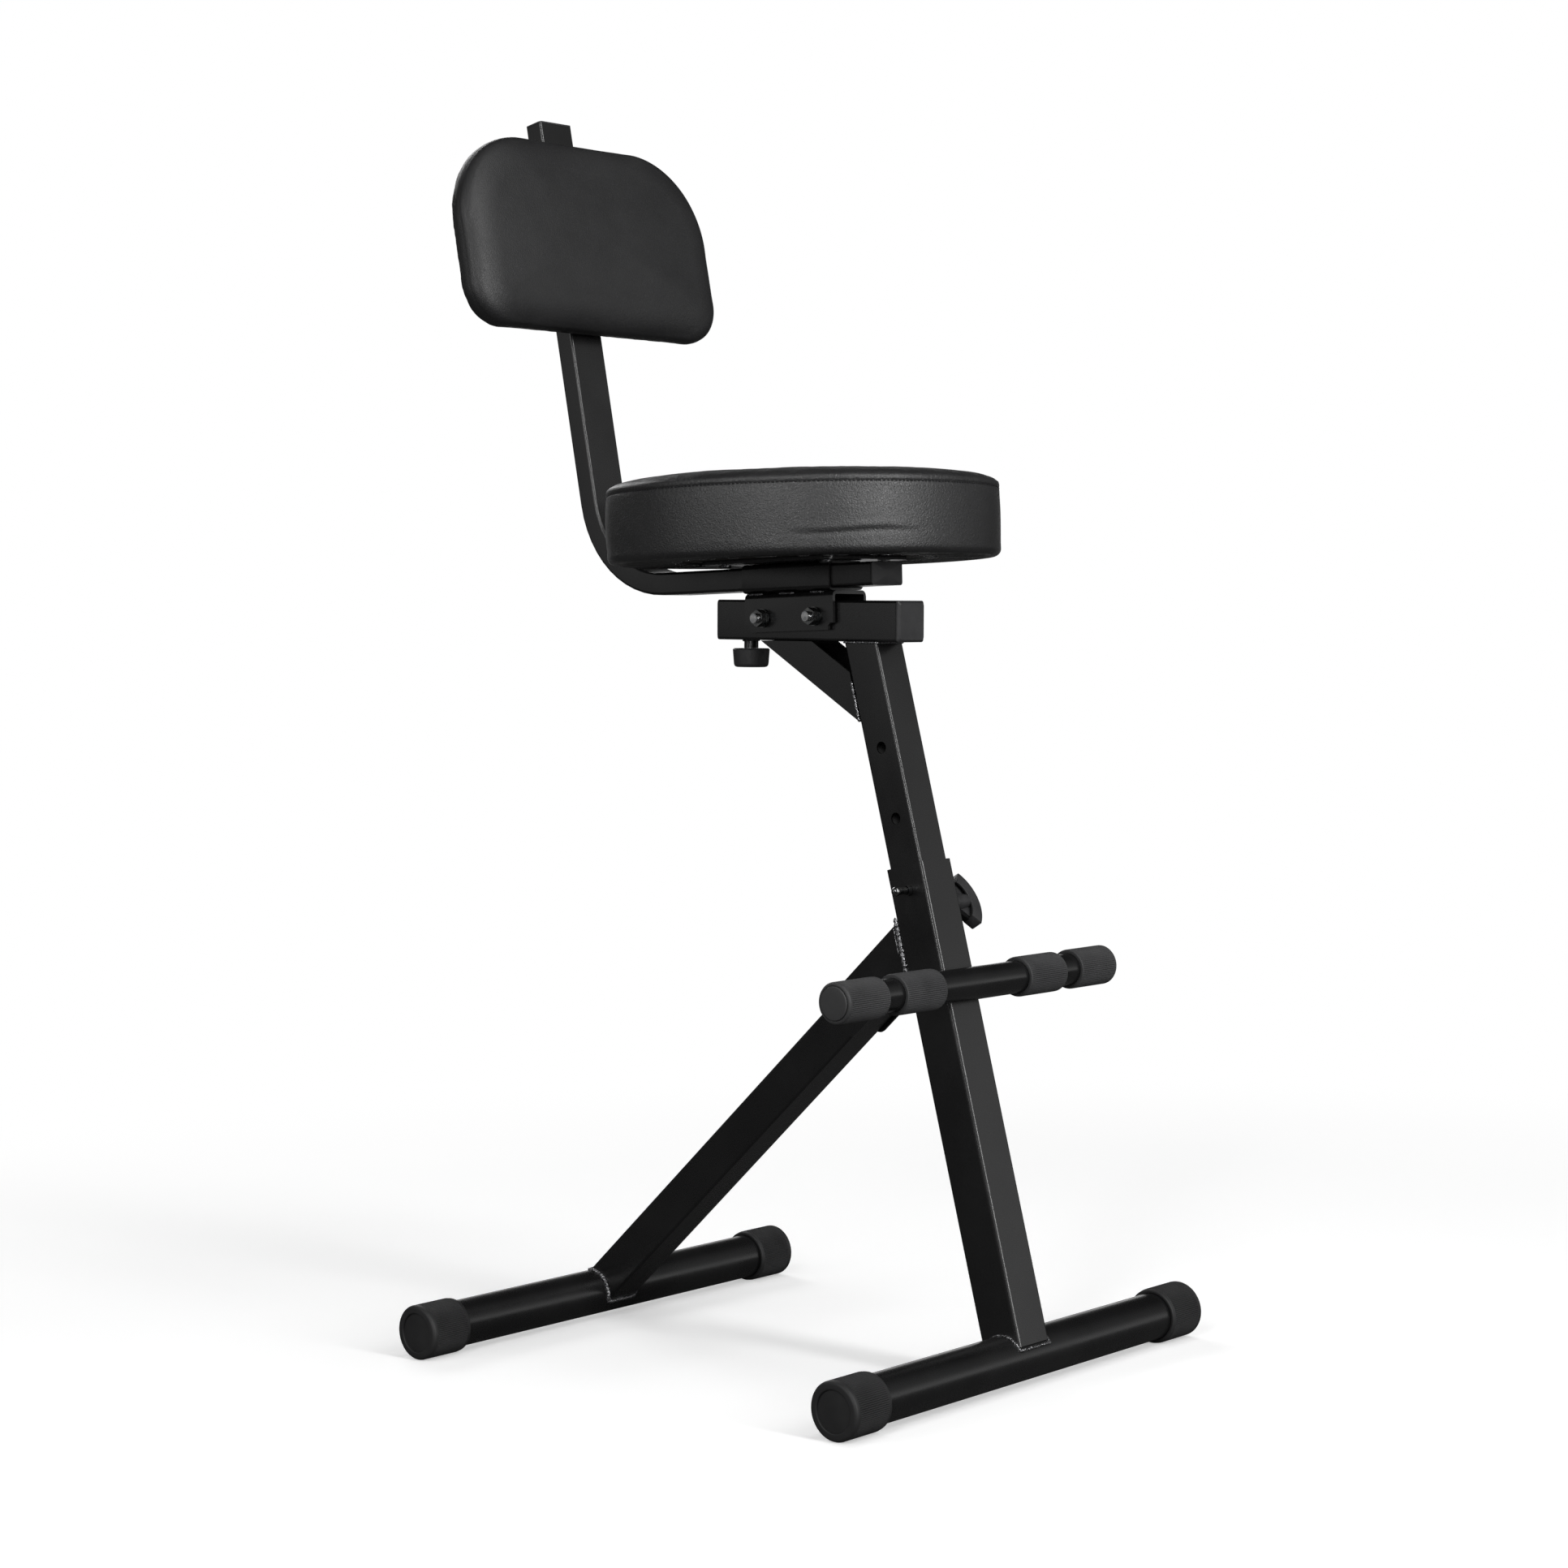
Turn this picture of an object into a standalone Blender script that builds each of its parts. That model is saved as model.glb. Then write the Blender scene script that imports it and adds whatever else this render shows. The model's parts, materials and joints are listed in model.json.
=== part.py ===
"""Guitar stool: round padded seat, footrest and adjustable backrest on an A-shaped steel frame.

The sitter faces -Y, +X runs along the foot bars and +Z is up. The origin is on the floor under
the middle of the stool's box. All sizes are metres.
"""
import math

import bmesh
import bpy
from mathutils import Matrix, Vector

# Fits shared by all pieces
WELD_GAP = 0.0003
CUT_OVERRUN = 0.010
HOLE_FIT = 0.0004
SHARP_ANGLE = math.radians(32.0)
ROUND_STEPS = 32
SMALL_STEPS = 24
CORNER_STEPS = 3

# Foot bars: a round tube under each leg with a rubber cap on each end
FOOT_BAR_LENGTH = 0.470
FOOT_TUBE_DIA = 0.0405
FOOT_TUBE_WALL = 0.0015
FRONT_FOOT_Y = -0.215
REAR_FOOT_Y = 0.266
CAP_DIA = 0.048
CAP_LENGTH = 0.044
CAP_END_WALL = 0.005
CAP_CHAMFER = 0.0018
CAP_RECESS_DIA = 0.033
CAP_RECESS_DEPTH = 0.0015

# Front leg: the square sleeve that the seat post slides in
LEG_WIDTH = 0.040
LEG_WALL = 0.002
LEG_CORNER = 0.0032
LEG_LEAN = math.radians(13.2)
SLEEVE_START = 0.009
SLEEVE_END = 0.416

# Rear leg and the cheek plates beside its upper end
REAR_LEG_WIDTH = 0.035
REAR_LEG_DEPTH = 0.0355
REAR_LEG_WALL = 0.0015
REAR_LEG_CORNER = 0.0025
REAR_LEG_RISE = math.radians(41.0)
CHEEK_THICK = 0.0022
CHEEK_ABOVE = 0.0037
CHEEK_BELOW = 0.0024
CHEEK_CORNER = 0.007
CHEEK_START = 0.411

# Seat post with its row of height holes
POST_FIT = 0.0005
POST_WALL = 0.0015
POST_CORNER = 0.0025
POST_TAIL = 0.080
HOLE_PITCH = 0.0613
HOLE_DIA = 0.010
HOLES_ABOVE = 2
HOLES_BELOW = 2
PLUG_FIT = 0.0003
PLUG_FLANGE = 0.003
PLUG_STEM = 0.014

# Index pin on the near side, parked just clear of the post, and its collar
PIN_HEIGHT = 0.395
PIN_DIA = 0.0065
PIN_BALL_DIA = 0.008
PIN_LENGTH = 0.0222
COLLAR_DIA = 0.0095
COLLAR_LENGTH = 0.003

# Clamp screw with its arched T grip on the far side
CLAMP_BELOW_PIN = 0.015
CLAMP_FORWARD = 0.004
SCREW_DIA = 0.008
WELD_NUT_DIA = 0.016
WELD_NUT_LENGTH = 0.006
GRIP_REACH = 0.038
GRIP_ARC_RADIUS = 0.033
GRIP_HALF_SPAN = 0.0245
GRIP_BAND = 0.011
GRIP_WIDTH = 0.012
GRIP_HUB_DIA = 0.015
GRIP_TURN = math.radians(-45.0)

# Footrest welded across the front leg
FOOTREST_HEIGHT = 0.308
FOOTREST_LENGTH = 0.361
FOOTREST_TUBE_DIA = 0.0273
FOOTREST_TUBE_WALL = 0.0015
FOOT_GRIP_DIA = 0.034
OUTER_GRIP_LENGTH = 0.0515
INNER_GRIP_LENGTH = 0.051
GRIP_SPACE = 0.0215
FOOT_GRIP_END_WALL = 0.004
FOOT_GRIP_DISC_DIA = 0.0285
FOOT_GRIP_DISC_RISE = 0.001
FOOT_GRIP_CHAMFER = 0.0018
FOOT_GRIP_END_ROUND = 0.0026

# Head tube on top of the post, its end plugs and its brace
HEAD_DROP = 0.0417
HEAD_TILT = math.radians(2.2)
HEAD_WIDTH = 0.035
HEAD_WALL = 0.0015
HEAD_CORNER = 0.0025
HEAD_FRONT_Y = -0.1185
HEAD_REAR_Y = 0.0905
HEAD_PLUG_FLANGE = 0.0035
HEAD_PLUG_CHAMFER = 0.002
BRACE_DEPTH = 0.030
BRACE_WALL = 0.0025
BRACE_FALL = math.radians(30.8)
BRACE_REAR_Y = 0.0375

# Saddle bracket bolted across the head tube
SADDLE_TOP_Z = 0.662
SADDLE_LENGTH = 0.101
SADDLE_HEIGHT = 0.0335
SADDLE_SHEET = 0.003
SADDLE_SIDE_AIR = 0.0015
SADDLE_BEND = 0.005
SADDLE_CORNER = 0.006
BOLT_SPACING = 0.0592
BOLT_DROP = 0.0215
BOLT_DIA = 0.008
BOLT_HEAD_ACROSS = 0.013
BOLT_HEAD_HEIGHT = 0.0053
NUT_HEIGHT = 0.0065
WASHER_DIA = 0.016
WASHER_THICK = 0.0016
BOLT_TAIL = 0.004

# Backrest bar and the receiver that it slides in
BAR_WIDTH = 0.040
BAR_THICK = 0.020
BAR_WALL = 0.0015
BAR_CORNER = 0.0025
BAR_FIT = 0.0005
BAR_FRONT_Y = -0.0955
BAR_BEND_Y = 0.153
BAR_BEND_RADIUS = 0.092
BAR_TILT = math.radians(9.5)
BAR_RISE = 0.3555
BAR_BEND_STEPS = 12
BAR_PLUG_POINT = 0.0025
BAR_PLUG_FLANGE = 0.0015
RECEIVER_LENGTH = 0.100
RECEIVER_WALL = 0.002
RECEIVER_FRONT_Y = -0.047

# Depth knob under the head tube, whose screw bears on the backrest bar
DEPTH_KNOB_Y = 0.064
BOSS_DIA = 0.0125
BOSS_LENGTH = 0.007
KNOB_DIA = 0.0325
KNOB_HEIGHT = 0.0165
KNOB_TAPER = 0.001
KNOB_ROUND = 0.003
KNOB_BITE = 0.012

# Seat: plate, plywood board and cushion
PLATE_THICK = 0.003
PLATE_LENGTH = 0.150
PLATE_WIDTH = 0.110
PLATE_CORNER = 0.010
SEAT_DIA = 0.343
SEAT_BOARD_INSET = 0.0105
SEAT_BOARD_THICK = 0.012
SEAT_HEM = 0.0020
SEAT_SIDE = 0.0585
SEAT_SHOULDER = 0.0125
SEAT_DOME = 0.004
SEAT_EDGE_ROUND = 0.007
SEAT_SEAM_ROUND = 0.002
SEAT_STEPS = 56
SEAT_CROWN_RINGS = 8
SCREW_SPREAD_X = 0.076
SCREW_SPREAD_Y = 0.116
WOOD_SCREW_DIA = 0.005
SEAT_SCREW_GRIP = 0.009
BACK_SCREW_GRIP = 0.007
WOOD_SCREW_HEAD_DIA = 0.011
WOOD_SCREW_HEAD = 0.0028

# Backrest: slider on the bar, plate, board, cushion and clamp knob
BACKREST_RISE = 0.241
SLIDER_LENGTH = 0.060
SLIDER_WALL = 0.002
BACK_PLATE_WIDTH = 0.120
BACK_PLATE_HEIGHT = 0.080
PAD_WIDTH = 0.312
PAD_HEIGHT = 0.178
PAD_TOP_RADIUS = 0.086
PAD_LOW_RADIUS = 0.0375
PAD_SIDE = 0.026
PAD_CROWN = 0.009
PAD_REAR_ROUND = 0.007
PAD_FRONT_ROUND = 0.012
PAD_BOARD_INSET = 0.008
PAD_BOARD_THICK = 0.009
PAD_HEM = 0.0015
PAD_ARC_STEPS = 9
PAD_CROWN_RINGS = 5
BACK_SCREW_SPREAD_X = 0.092
BACK_SCREW_SPREAD_Z = 0.052
BACK_NUT_LENGTH = 0.008
BACK_KNOB_DIA = 0.038

# Sizes that follow from the ones above
HEAD_LOW_Z = SADDLE_TOP_Z - HEAD_DROP
CAP_RADIUS = CAP_DIA / 2
SLEEVE_BORE = LEG_WIDTH - 2 * LEG_WALL
POST_WIDTH = SLEEVE_BORE - 2 * POST_FIT
POST_LOW_END = PIN_HEIGHT - HOLES_BELOW * HOLE_PITCH - POST_TAIL
CLAMP_HEIGHT = PIN_HEIGHT - CLAMP_BELOW_PIN
RECEIVER_WIDTH = BAR_WIDTH + 2 * (BAR_FIT + RECEIVER_WALL)
RECEIVER_HEIGHT = BAR_THICK + 2 * (BAR_FIT + RECEIVER_WALL)
RECEIVER_LOW_Z = SADDLE_TOP_Z + WELD_GAP
BAR_Z = RECEIVER_LOW_Z + RECEIVER_HEIGHT / 2
PLATE_LOW_Z = RECEIVER_LOW_Z + RECEIVER_HEIGHT + WELD_GAP
BOARD_LOW_Z = PLATE_LOW_Z + PLATE_THICK + WELD_GAP
SEAT_BOARD_DIA = SEAT_DIA - 2 * SEAT_BOARD_INSET

MATERIALS = {
    "black_powder_coat": ((0.012, 0.012, 0.013), 0.42, 0.0),
    "black_rubber": ((0.018, 0.018, 0.018), 0.72, 0.0),
    "black_plastic": ((0.016, 0.016, 0.017), 0.55, 0.0),
    "bright_steel": ((0.50, 0.50, 0.51), 0.32, 1.0),
    "dark_fastener": ((0.05, 0.05, 0.055), 0.35, 1.0),
    "plywood": ((0.46, 0.32, 0.18), 0.70, 0.0),
    "faux_leather": ((0.016, 0.016, 0.017), 0.46, 0.0),
}


def clear_scene():
    """Remove every object, so the script builds the same model each run."""
    for item in list(bpy.data.objects):
        bpy.data.objects.remove(item, do_unlink=True)


def material(name):
    """One Principled material per name, shared by the pieces made of it."""
    found = bpy.data.materials.get(name)
    if found:
        return found
    color, roughness, metallic = MATERIALS[name]
    made = bpy.data.materials.new(name)
    made.use_nodes = True
    shader = made.node_tree.nodes["Principled BSDF"]
    shader.inputs["Base Color"].default_value = (*color, 1.0)
    shader.inputs["Roughness"].default_value = roughness
    shader.inputs["Metallic"].default_value = metallic
    made.diffuse_color = (*color, 1.0)
    return made


def empty(name, parent, location=(0, 0, 0), rotation=(0, 0, 0)):
    """An axis or frame that pieces hang from."""
    axis = bpy.data.objects.new(name, None)
    bpy.context.collection.objects.link(axis)
    axis.parent = parent
    axis.location = location
    axis.rotation_euler = rotation
    return axis


def place(name, bm, finish, parent, location=(0, 0, 0), rotation=(0, 0, 0)):
    """Turn a bmesh into a named object with its material, smooth where it is round."""
    bmesh.ops.recalc_face_normals(bm, faces=bm.faces[:])
    mesh = bpy.data.meshes.new(name)
    bm.to_mesh(mesh)
    bm.free()
    mesh.shade_smooth()
    mesh.set_sharp_from_angle(angle=SHARP_ANGLE)
    piece = bpy.data.objects.new(name, mesh)
    bpy.context.collection.objects.link(piece)
    mesh.materials.append(material(finish))
    piece.parent = parent
    piece.location = location
    piece.rotation_euler = rotation
    return piece


def as_tool(piece):
    """Mark a shape that only cuts or adds to another piece."""
    piece.hide_render = True
    piece.display_type = "WIRE"
    return piece


def combine(piece, tool, operation="DIFFERENCE"):
    """Cut or join a piece with a tool shape."""
    step = piece.modifiers.new(tool.name, "BOOLEAN")
    step.operation = operation
    step.solver = "EXACT"
    step.object = tool
    return piece


# Outlines, as lists of points in a plane


def circle(radius, steps):
    """Points around a circle whose flats lie at the radius, one flat facing each axis."""
    reach = radius / math.cos(math.pi / steps)
    turns = [2 * math.pi * (i + 0.5) / steps for i in range(steps)]
    return [(reach * math.cos(a), reach * math.sin(a)) for a in turns]


def hexagon(across, steps):
    """Points around a hexagon of a given width across its flats; steps is a multiple of 6."""
    side = math.pi / 3
    points = []
    for i in range(steps):
        a = 2 * math.pi * i / steps
        off = (a % side) - side / 2
        reach = across / 2 / math.cos(off)
        points.append((reach * math.cos(a), reach * math.sin(a)))
    return points


def rounded_box(width, depth, radii, steps=CORNER_STEPS):
    """A rectangle with round corners; radii is one value or four from the first quadrant on."""
    if not isinstance(radii, (tuple, list)):
        radii = (radii,) * 4
    signs = ((1, 1), (-1, 1), (-1, -1), (1, -1))
    points = []
    for quadrant, ((sx, sy), radius) in enumerate(zip(signs, radii)):
        cx = sx * (width / 2 - radius)
        cy = sy * (depth / 2 - radius)
        for i in range(steps + 1):
            a = math.pi / 2 * (quadrant + i / steps)
            points.append((cx + radius * math.cos(a), cy + radius * math.sin(a)))
    return points


# Solids from outlines


def ring(bm, points, height):
    """A loop of vertices at one height."""
    return [bm.verts.new((x, y, height)) for x, y in points]


def skin(bm, low, high):
    """Quads between two loops of the same count."""
    count = len(low)
    for i in range(count):
        j = (i + 1) % count
        bm.faces.new((low[i], low[j], high[j], high[i]))


def fan(bm, loop, point):
    """Triangles from a loop to one point."""
    tip = bm.verts.new(point)
    count = len(loop)
    for i in range(count):
        bm.faces.new((loop[i], loop[(i + 1) % count], tip))


def prism(points, low, high):
    """A solid of one outline between two heights."""
    bm = bmesh.new()
    bottom = ring(bm, points, low)
    top = ring(bm, points, high)
    skin(bm, bottom, top)
    bm.faces.new(bottom)
    bm.faces.new(top)
    return bm


def tube(outer, inner, low, high):
    """A tube between two heights, from an outer and an inner outline of equal count."""
    bm = bmesh.new()
    loops = [ring(bm, outer, low), ring(bm, outer, high), ring(bm, inner, high), ring(bm, inner, low)]
    for i in range(4):
        skin(bm, loops[i], loops[(i + 1) % 4])
    return bm


def box_tube(width, depth, wall, corner, low, high):
    """A rectangular tube with round corners."""
    outer = rounded_box(width, depth, corner)
    inner = rounded_box(width - 2 * wall, depth - 2 * wall, max(corner - wall, corner / 4))
    return tube(outer, inner, low, high)


def turned(profile, steps):
    """A solid turned about Z from a closed ring of (radius, height) points.

    Where the first and last points have no radius, they are the solid's poles.
    """
    bm = bmesh.new()
    solid = profile[0][0] == 0
    body = profile[1:-1] if solid else profile
    loops = [ring(bm, circle(r, steps), z) for r, z in body]
    for low, high in zip(loops, loops[1:]):
        skin(bm, low, high)
    if solid:
        fan(bm, loops[0], (0, 0, profile[0][1]))
        fan(bm, loops[-1], (0, 0, profile[-1][1]))
    else:
        skin(bm, loops[-1], loops[0])
    return bm


def rod(radius, low, high, steps=SMALL_STEPS):
    """A plain round bar along Z."""
    return turned([(0, low), (radius, low), (radius, high), (0, high)], steps)


def block(x, y, z):
    """A box from three (low, high) pairs."""
    corners = [(x[0], y[0]), (x[1], y[0]), (x[1], y[1]), (x[0], y[1])]
    return prism(corners, z[0], z[1])


def rods(radius, places, low, high, steps=SMALL_STEPS):
    """Several equal round bars along Z in one cutter."""
    bm = bmesh.new()
    for px, py in places:
        points = [(px + x, py + y) for x, y in circle(radius, steps)]
        bottom = ring(bm, points, low)
        top = ring(bm, points, high)
        skin(bm, bottom, top)
        bm.faces.new(bottom)
        bm.faces.new(top)
    return bm


def quarter(cx, cz, radius, start, steps):
    """Points along a quarter circle, without its first point, counter-clockwise."""
    angles = [start + math.pi / 2 * i / steps for i in range(1, steps + 1)]
    return [(cx + radius * math.cos(a), cz + radius * math.sin(a)) for a in angles]


ALONG_X = (0, math.pi / 2, 0)
ALONG_MINUS_X = (0, -math.pi / 2, 0)
ALONG_Y = (-math.pi / 2, 0, 0)
DOWN = (math.pi, 0, 0)


# Base frame


def foot_bar(side, y, root):
    """One round foot tube along X with its two rubber caps."""
    axis = empty(side + "_foot_axis", root, (0, y, CAP_RADIUS))
    half = FOOT_BAR_LENGTH / 2 - CAP_END_WALL - WELD_GAP
    outer = circle(FOOT_TUBE_DIA / 2, ROUND_STEPS)
    inner = circle(FOOT_TUBE_DIA / 2 - FOOT_TUBE_WALL, ROUND_STEPS)
    place(side + "_foot_tube", tube(outer, inner, -half, half), "black_powder_coat", axis,
          rotation=ALONG_X)
    for hand, turn in (("right", ALONG_MINUS_X), ("left", ALONG_X)):
        place(f"{side}_{hand}_foot_cap", end_cap(), "black_rubber", axis, rotation=turn)
    return axis


def end_cap():
    """A rubber cap on the end of a foot tube, closed end up, with a sunk disc."""
    end = FOOT_BAR_LENGTH / 2
    rim = end - CAP_LENGTH
    bore = FOOT_TUBE_DIA / 2 + WELD_GAP
    recess = CAP_RECESS_DIA / 2
    profile = [
        (0, end - CAP_END_WALL),
        (bore, end - CAP_END_WALL),
        (bore, rim),
        (CAP_RADIUS - CAP_CHAMFER, rim),
        (CAP_RADIUS, rim + CAP_CHAMFER),
        (CAP_RADIUS, end - CAP_CHAMFER),
        (CAP_RADIUS - CAP_CHAMFER, end),
        (recess + CAP_RECESS_DEPTH, end),
        (recess, end - CAP_RECESS_DEPTH),
        (0, end - CAP_RECESS_DEPTH),
    ]
    return turned(profile, ROUND_STEPS)


def foot_cutter(name, axis):
    """The round notch that a leg's lower end is cut to."""
    reach = LEG_WIDTH
    cut = rod(FOOT_TUBE_DIA / 2 + WELD_GAP, -reach, reach, ROUND_STEPS)
    return as_tool(place(name, cut, "black_powder_coat", axis, rotation=ALONG_X))


def front_leg(leg_axis, foot_axis):
    """The square sleeve, notched over the foot tube and drilled for the pin and the clamp."""
    tube_shape = box_tube(LEG_WIDTH, LEG_WIDTH, LEG_WALL, LEG_CORNER, SLEEVE_START, SLEEVE_END)
    sleeve = place("front_leg_sleeve", tube_shape, "black_powder_coat", leg_axis)
    combine(sleeve, foot_cutter("front_foot_notch", foot_axis))
    reach = LEG_WIDTH / 2 + CUT_OVERRUN
    hole = rod(PIN_DIA / 2 + HOLE_FIT, 0, reach)
    combine(sleeve, as_tool(place("pin_hole", hole, "black_powder_coat", leg_axis, (0, 0, PIN_HEIGHT),
                                  ALONG_MINUS_X)))
    hole = rod(SCREW_DIA / 2 + HOLE_FIT, 0, reach)
    combine(sleeve, as_tool(place("clamp_hole", hole, "black_powder_coat", leg_axis,
                                  (0, -CLAMP_FORWARD, CLAMP_HEIGHT), ALONG_X)))
    return sleeve


def rear_leg(root, leg_axis, foot_axis):
    """The rear leg from its foot tube up to the sleeve's back, between two cheek plates."""
    axis = empty("rear_leg_axis", root, (0, REAR_FOOT_Y, CAP_RADIUS),
                 (math.pi / 2 - REAR_LEG_RISE, 0, 0))
    span = (REAR_FOOT_Y - FRONT_FOOT_Y) / math.cos(REAR_LEG_RISE)
    leg = place("rear_leg", box_tube(REAR_LEG_WIDTH, REAR_LEG_DEPTH, REAR_LEG_WALL, REAR_LEG_CORNER, 0, span),
                "black_powder_coat", axis)
    combine(leg, foot_cutter("rear_foot_notch", foot_axis))
    back = LEG_WIDTH / 2 + WELD_GAP
    clear = block((-LEG_WIDTH, LEG_WIDTH), (back - span, back), (0, span))
    trim = as_tool(place("sleeve_back_trim", clear, "black_powder_coat", leg_axis))
    combine(leg, trim)
    low = -REAR_LEG_DEPTH / 2 - CHEEK_BELOW
    high = REAR_LEG_DEPTH / 2 + CHEEK_ABOVE
    bend = -CHEEK_START - CHEEK_CORNER
    outline = [(-span, low), (bend, low)]
    outline += quarter(bend, low + CHEEK_CORNER, CHEEK_CORNER, -math.pi / 2, CORNER_STEPS)
    outline += [(-CHEEK_START, high - CHEEK_CORNER)]
    outline += quarter(bend, high - CHEEK_CORNER, CHEEK_CORNER, 0, CORNER_STEPS)
    outline += [(-span, high)]
    near = REAR_LEG_WIDTH / 2 + WELD_GAP
    for hand, low_x in (("right", -near - CHEEK_THICK), ("left", near)):
        cheek = place(f"rear_leg_{hand}_cheek", prism(outline, low_x, low_x + CHEEK_THICK),
                      "black_powder_coat", axis, rotation=ALONG_X)
        combine(cheek, trim)
    return leg


def footrest(leg_axis):
    """A round tube welded across the sleeve's front, with two rubber grips on each side."""
    front = LEG_WIDTH / 2 + WELD_GAP + FOOTREST_TUBE_DIA / 2
    axis = empty("footrest_axis", leg_axis, (0, -front, FOOTREST_HEIGHT), (LEG_LEAN, 0, 0))
    half = FOOTREST_LENGTH / 2 - FOOT_GRIP_END_WALL - WELD_GAP
    outer = circle(FOOTREST_TUBE_DIA / 2, SMALL_STEPS)
    inner = circle(FOOTREST_TUBE_DIA / 2 - FOOTREST_TUBE_WALL, SMALL_STEPS)
    place("footrest_tube", tube(outer, inner, -half, half), "black_powder_coat", axis,
          rotation=ALONG_X)
    for hand, turn in (("right", ALONG_MINUS_X), ("left", ALONG_X)):
        place(f"footrest_{hand}_outer_grip", outer_grip(), "black_rubber", axis, rotation=turn)
        place(f"footrest_{hand}_inner_grip", inner_grip(), "black_rubber", axis, rotation=turn)
    return axis


def outer_grip():
    """The closed rubber grip on a footrest end, with a raised disc."""
    end = FOOTREST_LENGTH / 2
    rim = end - OUTER_GRIP_LENGTH
    face = end - FOOT_GRIP_DISC_RISE
    bore = FOOTREST_TUBE_DIA / 2 + WELD_GAP
    outside = FOOT_GRIP_DIA / 2
    disc = FOOT_GRIP_DISC_DIA / 2
    profile = [
        (0, end - FOOT_GRIP_END_WALL),
        (bore, end - FOOT_GRIP_END_WALL),
        (bore, rim),
        (outside - FOOT_GRIP_CHAMFER, rim),
        (outside, rim + FOOT_GRIP_CHAMFER),
        (outside, face - FOOT_GRIP_END_ROUND),
    ]
    profile += quarter(outside - FOOT_GRIP_END_ROUND, face - FOOT_GRIP_END_ROUND, FOOT_GRIP_END_ROUND,
                       0, CORNER_STEPS)
    profile += [(disc, face), (disc - FOOT_GRIP_DISC_RISE, end), (0, end)]
    return turned(profile, SMALL_STEPS)


def inner_grip():
    """The open rubber sleeve beside an outer grip."""
    high = FOOTREST_LENGTH / 2 - OUTER_GRIP_LENGTH - GRIP_SPACE
    low = high - INNER_GRIP_LENGTH
    bore = FOOTREST_TUBE_DIA / 2 + WELD_GAP
    outside = FOOT_GRIP_DIA / 2
    profile = [
        (bore, low),
        (outside - FOOT_GRIP_CHAMFER, low),
        (outside, low + FOOT_GRIP_CHAMFER),
        (outside, high - FOOT_GRIP_CHAMFER),
        (outside - FOOT_GRIP_CHAMFER, high),
        (bore, high),
    ]
    return turned(profile, SMALL_STEPS)


# Height lock


def index_pin(leg_axis):
    """The round-ended index pin, and the collar that it runs in on the sleeve's near face."""
    face = LEG_WIDTH / 2 + WELD_GAP
    outer = circle(COLLAR_DIA / 2, SMALL_STEPS)
    bore = circle(PIN_DIA / 2 + HOLE_FIT, SMALL_STEPS)
    place("index_pin_collar", tube(outer, bore, face, face + COLLAR_LENGTH), "black_powder_coat", leg_axis,
          (0, 0, PIN_HEIGHT), ALONG_MINUS_X)
    axis = empty("index_pin_axis", leg_axis, (0, 0, PIN_HEIGHT), ALONG_MINUS_X)
    radius = PIN_DIA / 2
    ball = PIN_BALL_DIA / 2
    low = POST_WIDTH / 2 + WELD_GAP
    high = low + PIN_LENGTH
    chamfer = radius / 4
    centre = high - ball
    start = math.asin(radius / ball)
    turns = [start + (math.pi - start) * i / SMALL_STEPS * 2 for i in range(SMALL_STEPS // 2)]
    profile = [(0, low), (radius - chamfer, low), (radius, low + chamfer)]
    profile += [(ball * math.sin(a), centre - ball * math.cos(a)) for a in turns]
    profile += [(0, high)]
    place("index_pin", turned(profile, SMALL_STEPS), "bright_steel", axis)


def clamp_handle(leg_axis):
    """The clamp screw in its weld nut on the sleeve's far face, turned by an arched T grip."""
    centre = (0, -CLAMP_FORWARD, CLAMP_HEIGHT)
    face = LEG_WIDTH / 2 + WELD_GAP
    outer = circle(WELD_NUT_DIA / 2, SMALL_STEPS)
    bore = circle(SCREW_DIA / 2 + HOLE_FIT, SMALL_STEPS)
    place("clamp_weld_nut", tube(outer, bore, face, face + WELD_NUT_LENGTH), "black_powder_coat", leg_axis,
          centre, ALONG_X)
    axis = empty("clamp_axis", leg_axis, centre, ALONG_X)
    crown = LEG_WIDTH / 2 + GRIP_REACH
    hub_low = face + WELD_NUT_LENGTH + 2 * WELD_GAP
    arc_z = crown - GRIP_ARC_RADIUS
    inside = GRIP_ARC_RADIUS - GRIP_BAND
    sweep = math.asin(GRIP_HALF_SPAN / GRIP_ARC_RADIUS)
    turns = [sweep * (2 * i / SMALL_STEPS - 1) for i in range(SMALL_STEPS + 1)]
    arch = [(GRIP_ARC_RADIUS * math.sin(a), arc_z + GRIP_ARC_RADIUS * math.cos(a)) for a in turns]
    arch += [(inside * math.sin(a), arc_z + inside * math.cos(a)) for a in reversed(turns)]
    turn = (math.pi / 2, 0, 0)
    bar = empty("clamp_grip_axis", axis, rotation=(0, 0, GRIP_TURN + LEG_LEAN))
    grip = place("clamp_grip", prism(arch, -GRIP_WIDTH / 2, GRIP_WIDTH / 2), "black_plastic", bar,
                 rotation=turn)
    hub = place("clamp_hub", rod(GRIP_HUB_DIA / 2, hub_low, crown - GRIP_BAND / 2), "black_plastic", axis)
    combine(grip, as_tool(hub), "UNION")
    screw_high = crown - GRIP_BAND
    socket = rod(SCREW_DIA / 2 + WELD_GAP, hub_low - CUT_OVERRUN, screw_high + WELD_GAP)
    combine(grip, as_tool(place("clamp_socket", socket, "black_plastic", axis)))
    screw = rod(SCREW_DIA / 2, POST_WIDTH / 2 + WELD_GAP, screw_high)
    place("clamp_screw", screw, "bright_steel", axis)


# Seat post and head


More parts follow.
